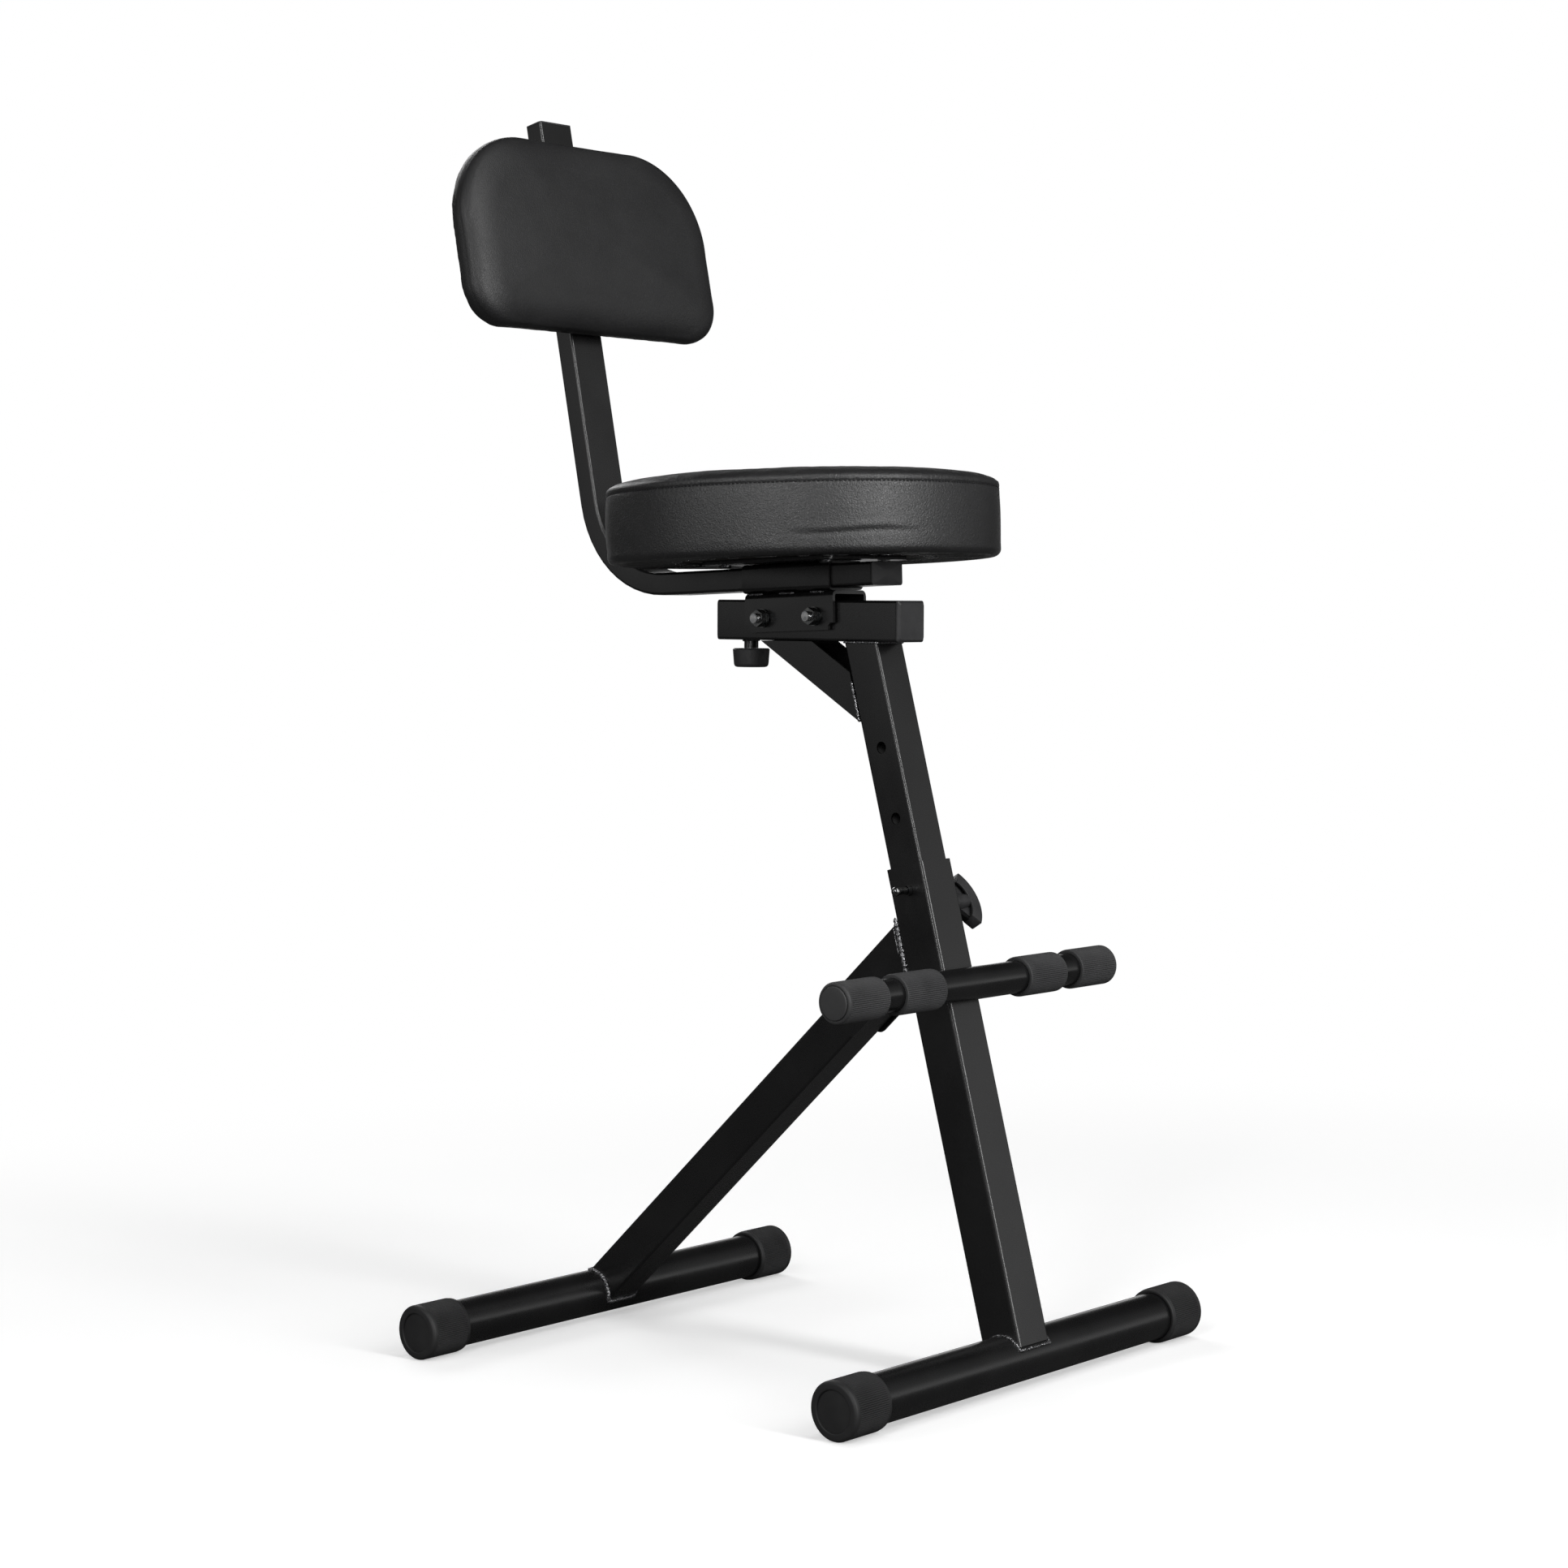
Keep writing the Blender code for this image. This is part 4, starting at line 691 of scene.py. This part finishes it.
def foot_weld(name, matrix, half_x, half_y, seed, radius):
    """A bead round a leg's foot, which follows the round tube below it."""
    path = []
    for x, y in box_path(half_x + 0.0004, half_y + 0.0004, 0.003):
        off = min(abs(y), TUBE_RADIUS - 0.0008)
        path.append((x, y, math.sqrt(max(TUBE_RADIUS ** 2 - off ** 2, 0)) + 0.0004))
    bead(name, in_frame(matrix, path), radius, "frame", seed, loop=True)


foot_weld("front_foot_weld", LEG, 0.0200, 0.0200, 2.0, 0.0015)
foot_weld("rear_foot_weld", REAR, 0.0175, 0.01775, 5.0, 0.0021)


def sleeve_line(x, s_low, s_high, back):
    """A line up the sleeve's rear face at a given side offset."""
    return in_frame(LEG, [(x, back, s_low + (s_high - s_low) * i / 20) for i in range(21)])


for side, sign in SIDES:
    bead(f"rear_leg_{side}_weld", sleeve_line(sign * 0.0200, 0.305, 0.3756, 0.0203), 0.0020,
         "frame", 7.0 + sign, 0.0026)
    bead(f"rear_leg_{side}_seam", sleeve_line(sign * 0.0202, 0.3445, 0.3672, 0.0238), 0.0008,
         "frame", 9.0 + sign, 0.0018)
for name, s in (("upper", 0.3172), ("lower", 0.2988)):
    line = in_frame(LEG, [(x, -0.0217, s) for x in np.linspace(-0.0185, 0.0185, 30)])
    bead(f"footrest_{name}_weld", line, 0.0017, "frame", 11.0 + s * 9, 0.0024)
for side, sign in SIDES:
    line = in_frame(LEG, [(sign * 0.0177, 0.0180, s) for s in np.linspace(0.544, 0.580, 24)])
    bead(f"brace_{side}_weld", line, 0.0012, "seat_post", 13.0 + sign, 0.0020)
    for n, (y0, y1) in enumerate(((-0.083, -0.067), (-0.049, -0.031), (-0.013, 0.004))):
        line = [(sign * 0.0220, y, 0.6612) for y in np.linspace(y0, y1, 16)]
        bead(f"receiver_{side}_tack_{n + 1}", line, 0.0012, "seat_post",
             17.0 + n * 2.3 + sign, 0.0021)
ring = [(x, y - 0.0762, -0.0006) for x, y in box_path(0.0180, 0.0185, 0.003)]
bead("post_top_weld", in_frame(HEAD, ring), 0.0011, "seat_post", 21.0, loop=True)
ring = []
for i in range(40):
    a = TAU * i / 40
    ring.append((0.0069 * math.cos(a), 0.0221 + 0.0069 * math.sin(a), 0.6222))
bead("knob_boss_weld", ring, 0.0009, "seat_post", 23.0, loop=True)


# Soft cushions

def resample(profile, stops):
    """Profile rows at distances along it."""
    return read_off(profile, reach_along(profile[:, :2]), stops)


SWELL_PRESSURE = 4.0
SWELL_FRAMES = 20
HELD_SHARE = 0.05


def swell(rings, shares, cap):
    """Let closed rings swell under air pressure; gives each point's move, at most cap.

    Rings are held where their share of the swelling is below HELD_SHARE."""
    start, faces = closed(rings)
    mesh = bpy.data.meshes.new("swelling")
    mesh.from_pydata(start.tolist(), [], faces)
    obj = placed("swelling", mesh)
    group = obj.vertex_groups.new(name="held")
    held = np.where(np.repeat(shares < HELD_SHARE, rings.shape[1]))[0].tolist()
    group.add(held + [len(start) - 2], 1.0, "REPLACE")
    cloth = obj.modifiers.new("cloth", "CLOTH")
    settings = cloth.settings
    settings.quality = 6
    settings.mass = 0.3
    settings.tension_stiffness = 12
    settings.compression_stiffness = 12
    settings.shear_stiffness = 5
    settings.bending_stiffness = 0.4
    settings.use_pressure = True
    settings.uniform_pressure_force = SWELL_PRESSURE
    settings.effector_weights.gravity = 0
    settings.vertex_group_mass = "held"
    cloth.point_cache.frame_end = SWELL_FRAMES
    scene = bpy.context.scene
    for step in range(1, SWELL_FRAMES + 1):
        scene.frame_set(step)
    evaluated = obj.evaluated_get(bpy.context.evaluated_depsgraph_get())
    end = np.zeros(len(start) * 3)
    evaluated.data.vertices.foreach_get("co", end)
    bpy.data.objects.remove(obj, do_unlink=True)
    scene.frame_set(1)
    return capped((end.reshape(-1, 3) - start)[:-2].reshape(rings.shape), cap)


def capped(moves, cap):
    """The same moves, the longer ones cut down to cap."""
    far = np.linalg.norm(moves, axis=-1)[..., None]
    return moves * np.minimum(1.0, cap / np.maximum(far, 1e-9))


def scaled(moves, usual, cap):
    """Scale moves so that all but the longest are within the usual size, and cap those."""
    size = np.linalg.norm(moves, axis=2)
    return capped(moves * (usual / max(np.percentile(size, 97), 1e-6)), cap)


def dents(a, b, seed):
    """A smooth repeatable field over two coordinates, about unit size."""
    total = np.zeros(np.broadcast(a, b).shape)
    for k in range(7):
        turn = (seed * 2.399 + k * 1.947) % TAU
        rate = 0.7 + 0.35 * k
        wave = np.sin(rate * (a * math.cos(turn) + b * math.sin(turn)) + seed + k * 1.3)
        total = total + wave / (1 + 0.5 * k)
    return total / 2.2


SEAT_RADIUS = 0.1715
SEAT_SPOT = (0, ROOT_Y, 0)
SEAM_Z = 0.7474
SEAT_LOW = 0.6889
SEAT_ROOF = 0.7032  # the recess in which the board sits
SEAT_ROUND = 0.0065  # rise of the lower edge's round
SEAT_COUNT, SEAT_FINE_COUNT = 160, 640
FACE_AWAY = math.radians(-138.276)  # direction from the seat to the camera, about +Z from +X
# (angle from that direction, height, half width, depth, thickness) of the side band's creases
SEAT_CREASES = ((0.25, 0.7060, 0.36, 0.0011, 0.0022), (-0.50, 0.7425, 0.30, 0.0006, 0.0015),
                (2.1, 0.7100, 0.50, 0.0009, 0.0024), (-1.9, 0.7350, 0.40, 0.0006, 0.002))


def seat_profile():
    """(radius, height, swelling share) from the recess under the seat up and over its crown."""
    rows = [(0.002, SEAT_ROOF, 0), (0.1610, SEAT_ROOF, 0), (0.1613, SEAT_ROOF - 0.0003, 0),
            (0.1613, 0.69075, 0), (0.1055, 0.69075, 0), (0.1050, 0.6904, 0), (0.1055, 0.6899, 0),
            (0.1350, 0.6896, 0), (0.1600, 0.6891, 0)]
    for i in range(9):
        a = math.pi / 2 * i / 8
        rows.append((0.1640 + 0.0062 * math.sin(a), SEAT_LOW + SEAT_ROUND * (1 - math.cos(a)),
                     0.3 * i / 8))
    for i in range(1, 13):
        t = i / 12
        rows.append((0.1702 + 0.0009 * math.sin(math.pi * t) - 0.0006 * t,
                     SEAT_LOW + SEAT_ROUND + 0.0505 * t,
                     math.sin(math.pi * (0.12 + 0.88 * t) * 0.98)))
    rows += [(0.1693, SEAM_Z - 0.0005, 0), (0.1690, SEAM_Z, 0), (0.1693, SEAM_Z + 0.0005, 0),
             (0.1698, SEAM_Z + 0.0016, 0.3), (0.1699, SEAM_Z + 0.0032, 0.5),
             (0.1696, SEAM_Z + 0.0050, 0.6)]
    for i in range(6, 30):
        rise = math.sin(math.pi / 2 * i / 30)
        share = (1 - rise ** 4) ** 0.125
        height = SEAM_Z + 0.0125 * rise + 0.004 * (1 - share ** 2)
        if height > SEAM_Z + 0.0056:
            rows.append((0.1695 * share, height, 0.8))
    rows += [(0.060, SEAM_Z + 0.0161, 0.9), (0.020, SEAM_Z + 0.01645, 0.9),
             (0.002, SEAM_Z + 0.0165, 0.9)]
    return rows


def seat_rings(rows, count):
    angles = np.arange(count) * TAU / count
    r = rows[:, :1]
    return np.stack([r * np.cos(angles), r * np.sin(angles), np.repeat(rows[:, 1:2], count, 1)], 2)


def seat_step(r, z):
    """Distance from a point of the seat's profile to the next fine one."""
    if abs(z - SEAM_Z) < 0.003 and r > 0.16:
        return 0.0006
    if z < 0.7035 and r > 0.160:
        return 0.0015
    return 0.0018 if r > 0.155 else 0.006


def along_rows(profile, step):
    """Distances along a profile, as far apart as step says for a radius and a height."""
    reach = reach_along(profile[:, :2])[-1]
    stops = [0.0]
    while stops[-1] < reach:
        radius, height, _ = resample(profile, stops[-1:])[0]
        stops.append(stops[-1] + step(radius, height))
    stops[-1] = reach
    return np.array(stops)


def spread_moves(moves, stops, fine_stops, fine_count):
    """Carry coarse ring moves over to a finer grid of rings and points."""
    count = moves.shape[1]
    where = np.arange(fine_count) * count / fine_count
    i0 = np.floor(where).astype(int) % count
    share = (where - np.floor(where))[None, :, None]
    wide = moves[:, i0] * (1 - share) + moves[:, (i0 + 1) % count] * share
    out = read_off(wide.reshape(len(stops), -1), stops, fine_stops)
    return out.reshape(len(fine_stops), fine_count, 3)


def seat_cushion():
    """The seat's cover with its seam, creases and pleats; gives the line of the seam."""
    profile = np.array(seat_profile())
    fine = along_rows(profile, seat_step)
    fine_rows = resample(profile, fine)
    rings = seat_rings(fine_rows, SEAT_FINE_COUNT)
    angles = np.arange(SEAT_FINE_COUNT) * TAU / SEAT_FINE_COUNT
    out = np.stack([np.cos(angles), np.sin(angles), np.zeros(SEAT_FINE_COUNT)], 1)[None]
    coarse = along_rows(profile, lambda r, z: 0.006)
    rows = resample(profile, coarse)
    moved = swell(seat_rings(rows, SEAT_COUNT), rows[:, 2], 0.006)
    moves = spread_moves(moved, coarse, fine, SEAT_FINE_COUNT)
    rings = rings + scaled(moves, 0.0013, 0.0020)
    r, z = fine_rows[:, 0][:, None], fine_rows[:, 1][:, None]
    wrapped = (angles[None] - FACE_AWAY + math.pi) % TAU - math.pi
    # broad dents in the side band, and puckers close to the seam
    side = np.clip((z - 0.694) / 0.006, 0, 1) * np.clip((SEAM_Z - 0.0012 - z) / 0.006, 0, 1)
    side = side * (r > 0.16)
    push = 0.00055 * side * dents(angles[None] * SEAT_RADIUS * 26, z * 60, 3.0)
    near = np.exp(-((z - SEAM_Z) / 0.0045) ** 2) * (r > 0.16)
    push += 0.00022 * near * waves(angles[None] * 150, 4.0, 4)
    # long soft creases in the side band
    for centre, height, half, depth, width in SEAT_CREASES:
        gap = (wrapped - centre + math.pi) % TAU - math.pi
        above = z - (height + 0.0012 * np.sin(gap * 9 + centre))
        fade = np.clip(1 - (gap / half) ** 2, 0, 1)
        ridge = np.exp(-((above - 2.2 * width) / (1.3 * width)) ** 2)
        push -= depth * fade * (np.exp(-(above / width) ** 2) - 0.5 * ridge) * side
    rings = rings + push[..., None] * out
    # pleats where the skin is drawn under the board
    fold = waves(angles[None] * 24 + 1.2 * np.sin(angles[None] * 5), 8.0, 5, 0.8, 1.6)
    sharp = np.sign(fold) * np.abs(fold) ** 0.6
    edge = np.clip((r - 0.1120) / 0.016, 0, 1) * np.clip((0.1635 - r) / 0.010, 0, 1)
    edge = edge * (z < 0.7) * (r > 0.1045)
    lower = (z < 0.6905) | (r > 0.162)
    rings[..., 2] -= np.where(lower, 0.00060 * edge * (sharp + 0.1), 0)
    low_edge = np.clip((0.703 - z) / 0.010, 0, 1) * (r > 0.168)
    rings = rings + (0.00004 * low_edge * sharp)[..., None] * out
    # the crown keeps soft broad dents
    top = (z > SEAM_Z + 0.009) * np.clip((0.165 - r) / 0.02, 0, 1)
    x, y = rings[..., 0], rings[..., 1]
    rings[..., 2] += 0.0006 * top * (dents(x * 34, y * 34, 6.0) - 0.4)
    points, faces = closed(rings)
    cushion = piece("seat_cushion_cover", points, faces, LEATHER, "seat_post",
                    Matrix.Translation(SEAT_SPOT), ["seat_cushion"], 60)
    seam = int(np.argmin(np.abs(fine_rows[:, 1] - SEAM_Z) + (fine_rows[:, 0] < 0.16)))
    return rings[seam] + np.array(SEAT_SPOT)


def stitches(name, line, normals, body):
    """Short raised threads along a closed line."""
    closed_line = np.vstack([line, line[:1]])
    closed_normals = np.vstack([normals, normals[:1]])
    along = reach_along(closed_line)
    total = int(along[-1] / STITCH_PITCH)
    pitch = along[-1] / total
    stations = STITCH_LENGTH * np.array([-0.5, -0.42, -0.2, 0.0, 0.2, 0.42, 0.5])
    lift = STITCH_RADIUS * np.array([-0.7, 0.1, 0.5, 0.6, 0.5, 0.1, -0.7])
    sizes = STITCH_RADIUS * np.array([0.35, 0.8, 1.0, 1.0, 1.0, 0.8, 0.35])

    points, faces = [], []
    for n in range(total):
        spots = ((n + 0.5) * pitch + stations) % along[-1]
        centre = read_off(closed_line, along, spots)
        normal = unit(read_off(closed_normals, along, spots))
        across = np.cross(unit(np.gradient(centre, axis=0)), normal)
        rings = []
        for j in range(len(spots)):
            ring = []
            for q in range(6):
                a = TAU * q / 6
                rise = lift[j] + STITCH_RISE + sizes[j] * math.sin(a)
                ring.append(centre[j] + normal[j] * rise + across[j] * sizes[j] * math.cos(a))
            rings.append(ring)
        add_closed(points, faces, rings)
    piece(name, points, faces, THREAD, body)


STITCH_PITCH = 0.0037
STITCH_LENGTH = 0.0029
STITCH_RADIUS = 0.00042
STITCH_RISE = 0.0001
seam_line = seat_cushion()
seam_out = seam_line - np.array(SEAT_SPOT)
seam_out[:, 2] = 0
stitches("seat_stitching", seam_line, unit(seam_out), "seat_post")


STAPLE_LENGTH = 0.0095
# (share of the length, lift) of a staple's stations
STAPLE_BENDS = ((-0.5, -0.0006), (-0.5, 0.0002), (-0.42, 0.0004), (0.42, 0.0004), (0.5, 0.0002),
                (0.5, -0.0006))


def staples(name, body, spots):
    """Wire staples that hold the skin to the board; a spot has a centre, a way and a normal."""
    points, faces = [], []
    for centre, forward, normal in spots:
        forward, normal = Vector(forward).normalized(), Vector(normal).normalized()
        across = forward.cross(normal)
        rings = []
        for t, lift in STAPLE_BENDS:
            spot = Vector(centre) + forward * (STAPLE_LENGTH * t) + normal * lift
            up = normal if abs(t) < 0.5 else forward
            rings.append([tuple(spot + across * (0.00035 * math.cos(a)) +
                                up * (0.0003 * math.sin(a))) for a in (0.4, 1.97, 3.54, 5.11)])
        add_closed(points, faces, rings)
    piece(name, points, faces, ZINC, body)


staple_spots = []
for i in range(36):
    a = TAU * (i + 0.3 * math.sin(i * 2.3)) / 36
    r = 0.1130 + 0.0022 * math.sin(i * 1.9)
    b = a + 0.25 * math.sin(i * 3.1)
    staple_spots.append(((r * math.cos(a), ROOT_Y + r * math.sin(a), 0.68965),
                         (-math.sin(b), math.cos(b), 0), (0, 0, -1)))
staples("seat_staples", "seat_post", staple_spots)


# Back pad

PAD_WIDTH, PAD_HEIGHT = 0.312, 0.178
PAD_BACK = 0.0350  # how far behind the crown's place the rear face lies
PAD_HEM = 0.0077  # width of the rim round the board
PAD_ROOF = 0.0105  # depth of the recess for the board
PAD_ROUND = 0.0062
PAD_EDGE = 0.0008
PAD_FRONT = 0.0210  # where the side ends and the roll to the front begins
PAD_ROLL, PAD_RISE = 0.038, 0.0158  # half axes of that roll
PAD_TURN = math.radians(80)
PAD_CROWN = 0.0044
# (side, height, radius, first angle) of the outline's corners
PAD_CORNERS = ((1, 1, 0.086, 90), (1, -1, 0.0375, 0), (-1, -1, 0.0375, -90), (-1, 1, 0.086, 180))
PAD = lean_frame(PAD_SPOT, PAD_LEAN) @ Matrix.Translation((0, -0.0368, 0))


def pad_outline(inset, count):
    """Even points round the pad's outline drawn in by an inset, from the middle of its top."""
    corners = []
    half_w, half_h = PAD_WIDTH / 2 - inset, PAD_HEIGHT / 2 - inset
    for sx, sy, radius, start in PAD_CORNERS:
        r = max(radius - inset, radius / 4)
        cx, cy = sx * (half_w - r), sy * (half_h - r)
        for i in range(25):
            a = math.radians(start - 90 * i / 24)
            corners.append((cx + r * math.cos(a), cy + r * math.sin(a)))
    corners = np.array([(0.0, half_h)] + corners + [(0.0, half_h)])
    along = reach_along(corners)
    s = np.arange(count) / count * along[-1]
    return read_off(corners, along, s)


def pad_rings(fine):
    """Rings of the back pad (X across, Y back, Z up) and each one's share of the swelling."""
    count = 480 if fine else 160
    steps = 2 if fine else 1
    rings, shares = [], []

    def add(inset, depth, share, scale=1.0):
        line = pad_outline(inset, count) * scale
        rings.append(np.stack([line[:, 0], np.full(count, depth), line[:, 1]], 1))
        shares.append(share)

    for scale in (0.02, 0.5, 1.0):
        add(PAD_HEM, PAD_BACK - PAD_ROOF, 0, scale)
    add(PAD_HEM, PAD_BACK - 0.0002, 0)
    add(PAD_HEM - 0.0004, PAD_BACK, 0)
    total = 8 * steps
    for i in range(total + 1):
        a = math.pi / 2 * i / total
        add(PAD_ROUND * (1 - math.sin(a)) + PAD_EDGE, PAD_BACK - PAD_ROUND * (1 - math.cos(a)),
            0.4 * i / total)
    total = 6 * steps
    for i in range(1, total):
        t = i / total
        add(PAD_EDGE - 0.0004 * math.sin(math.pi * t),
            PAD_BACK - PAD_ROUND - (PAD_BACK - PAD_ROUND - PAD_FRONT) * t, 0.5)
    total = 18 * steps
    for i in range(total + 1):
        a = PAD_TURN * i / total
        add(PAD_EDGE + PAD_ROLL * (1 - math.cos(a)), PAD_FRONT - PAD_RISE * math.sin(a), 0.6)
    last = PAD_EDGE + PAD_ROLL * (1 - math.cos(PAD_TURN))
    edge = PAD_FRONT - PAD_RISE * math.sin(PAD_TURN)
    total = 14 * steps
    for i in range(1, total):
        share = math.cos(math.pi / 2 * i / total)
        add(last, edge - PAD_CROWN * (1 - share ** 2), 0.9, share)
    add(last, edge - PAD_CROWN, 0.9, 0.02)
    return np.array(rings), np.array(shares)


def pad_stops(rings):
    """Distance along the rings' first points, as shares of the whole."""
    reach = reach_along(rings[:, 0])
    return reach / reach[-1]


def back_pad():
    """The back pad: a stuffed cover drawn over its board."""
    rings, shares = pad_rings(True)
    coarse, coarse_shares = pad_rings(False)
    moved = swell(coarse, coarse_shares, 0.008)
    moves = spread_moves(moved, pad_stops(coarse), pad_stops(rings), rings.shape[1])
    rings = rings + scaled(moves, 0.0010, 0.0016)
    x, y, z = rings[..., 0], rings[..., 1], rings[..., 2]
    front = np.clip((0.012 - y) / 0.008, 0, 1)
    rings[..., 1] += 0.0006 * front * dents(x * 30, z * 30, 5.0)
    # small gathers round the rear edge
    angle = np.arctan2(z, x)
    rear = np.clip((y - 0.026) / 0.006, 0, 1) * (shares > 0)[:, None]
    rings[..., 1] += 0.0004 * rear * waves(angle * 22, 3.0, 5, 0.8, 1.7)
    points, faces = closed(rings)
    pad = piece("backrest_cushion_cover", points, faces, PAD_LEATHER, "backrest",
                PAD, ["backrest_cushion"], 60)


back_pad()


# Studio

# from the object to the middle of the white backdrop behind it
BACKDROP_SIDE = (0.746, 0.665, -0.036)
BACKDROP_EDGE = (0.93, 0.975)  # cosines between which the backdrop fades out
FLOOR_HALF = 30.0
FLOOR_FADE = (0.6, 1.8)  # distances between which the floor turns white
FLOOR_MIRROR = (3.0, 6.0)  # distances between which reflections see it white
FLOOR_TONE = (0.80, 0.80, 0.80)
FLOOR_BOUNCE = (0.09, 0.09, 0.09)
FLOOR_GLOW = 0.42
LIT_SIDE = (-0.035, -0.999, 0.0)
LIT_EDGE = (-0.05, 0.85)  # cosines between which the room goes from dim to lit
DIM_LEVEL = 0.06
LIT_LEVEL = 0.85
LEVEL_BAND = (0.06, 0.34)  # slopes between which the room gets darker upwards and downwards
OFF_LEVEL = 0.30


def shown_rays(n, direction):
    """Share of white that a ray sees: all of it, but in reflections only the backdrop."""
    path = n.add("ShaderNodeLightPath").outputs
    facing = n.vector("DOT_PRODUCT", direction, BACKDROP_SIDE)["Value"]
    backdrop = n.spread(facing, *BACKDROP_EDGE, smooth=True)
    backdrop = n.maths("MULTIPLY", backdrop, path["Is Glossy Ray"])
    direct = n.maths("MAXIMUM", path["Is Camera Ray"], path["Is Transmission Ray"])
    return n.maths("MAXIMUM", direct, backdrop)


def floor():
    """A plain pale floor that keeps its shadow and fades to white far off."""
    mesh = bpy.data.meshes.new("floor")
    far = FLOOR_HALF
    corners = [(-far, -far, 0), (far, -far, 0), (far, far, 0), (-far, far, 0)]
    mesh.from_pydata(corners, [], [(0, 1, 2, 3)])
    obj = placed("floor", mesh)
    material = bpy.data.materials.new("pale_floor")
    material.use_nodes = True
    n = Tree(material.node_tree)
    n.tree.nodes.clear()
    place = n.add("ShaderNodeTexCoord").outputs["Object"]
    length = n.vector("LENGTH", place)["Value"]
    outward = n.add("ShaderNodeVectorMath", operation="SCALE")
    n.join(n.vector("NORMALIZE", place)["Vector"], outward.inputs[0])
    n.join(n.spread(length, *FLOOR_MIRROR), outward.inputs["Scale"])
    seen = shown_rays(n, outward.outputs["Vector"])
    diffuse, glow = n.add("ShaderNodeBsdfDiffuse"), n.add("ShaderNodeEmission")
    n.join(n.blend(seen, FLOOR_BOUNCE, FLOOR_TONE), diffuse.inputs["Color"])
    n.join(n.maths("MULTIPLY", seen, FLOOR_GLOW), glow.inputs["Strength"])
    near, white = n.add("ShaderNodeAddShader"), n.add("ShaderNodeEmission")
    n.feed(near, diffuse.outputs[0], glow.outputs[0])
    away = n.maths("MULTIPLY", n.spread(length, *FLOOR_FADE, smooth=True), seen)
    mix = n.add("ShaderNodeMixShader")
    n.feed(mix, away, near.outputs[0], white.outputs[0])
    n.join(mix.outputs[0], n.add("ShaderNodeOutputMaterial").inputs["Surface"])
    mesh.materials.append(material)


def world():
    """White to the camera; in reflections a room lit from the front, dim behind and above."""
    place = bpy.data.worlds.new("studio")
    bpy.context.scene.world = place
    place.use_nodes = True
    n = Tree(place.node_tree)
    n.tree.nodes.clear()
    way = n.add("ShaderNodeTexCoord").outputs["Generated"]
    facing = n.vector("DOT_PRODUCT", way, LIT_SIDE)["Value"]
    room = n.spread(facing, *LIT_EDGE, DIM_LEVEL, LIT_LEVEL, True)
    split = n.add("ShaderNodeSeparateXYZ")
    n.join(way, split.inputs[0])
    slope = n.maths("ABSOLUTE", split.outputs["Z"])
    room = n.maths("MULTIPLY", room, n.spread(slope, *LEVEL_BAND, 1.0, OFF_LEVEL, True))
    back = n.add("ShaderNodeBackground")
    back.inputs["Color"].default_value = (1, 1, 1, 1)
    n.join(n.maths("MAXIMUM", shown_rays(n, way), room), back.inputs["Strength"])
    n.join(back.outputs[0], n.add("ShaderNodeOutputWorld").inputs["Surface"])


floor()
world()


def lamp(name, spot, target, size, power):
    data = bpy.data.lights.new(name, "AREA")
    data.shape = "RECTANGLE"
    data.size, data.size_y = size
    data.energy = power
    obj = placed(name, data)
    obj.location = spot
    aim = Vector(target) - Vector(spot)
    obj.rotation_euler = aim.to_track_quat("-Z", "Y").to_euler()
    return obj


lamp("key_strip", (-0.13, -3.2, 1.9), (0, 0, 0.9), (0.45, 3.6), 80)
lamp("near_strip", (-2.95, -1.38, 1.75), (0, 0, 0.75), (0.30, 2.4), 38)
lamp("left_strip", (-3.09, 0.83, 1.75), (0, 0, 0.75), (0.60, 2.4), 17)
lamp("left_fill", (-3.0, 2.6, 1.25), (0, 0, 0.75), (2.4, 1.5), 3.2)
lamp("rear_fill", (1.3, 3.3, 2.6), (0, 0, 0.7), (2.2, 1.4), 44)
lamp("top_softbox", (0.3, -1.2, 3.4), (0, 0, 0.0), (1.4, 1.4), 5)
lamp("floor_softbox", (0.2, -0.6, 3.6), (0, 0, 0.0), (1.4, 1.4), 18).visible_glossy = False


# Camera

CAMERA_SPOT = (-1.9813, -1.77934, 0.5902)
CAMERA_TURN = math.radians(48.276)  # from +Y towards +X
CAMERA_PITCH = math.radians(2.038)
CAMERA_ROLL = math.radians(-1.347)
CAMERA_LENS = 69.77


def camera():
    level = math.cos(CAMERA_PITCH)
    forward = Vector((math.sin(CAMERA_TURN) * level, math.cos(CAMERA_TURN) * level,
                      -math.sin(CAMERA_PITCH)))
    right = Vector((math.cos(CAMERA_TURN), -math.sin(CAMERA_TURN), 0))
    up = right.cross(forward)
    side = right * math.cos(CAMERA_ROLL) + up * math.sin(CAMERA_ROLL)
    top = up * math.cos(CAMERA_ROLL) - right * math.sin(CAMERA_ROLL)
    data = bpy.data.cameras.new("photo_camera")
    data.sensor_width = 36
    data.lens = CAMERA_LENS
    data.clip_end = 200
    obj = placed("photo_camera", data)
    matrix = Matrix((side, top, -forward)).transposed().to_4x4()
    matrix.translation = CAMERA_SPOT
    obj.matrix_world = matrix
    bpy.context.scene.camera = obj


camera()
bpy.context.scene.view_settings.view_transform = "Standard"
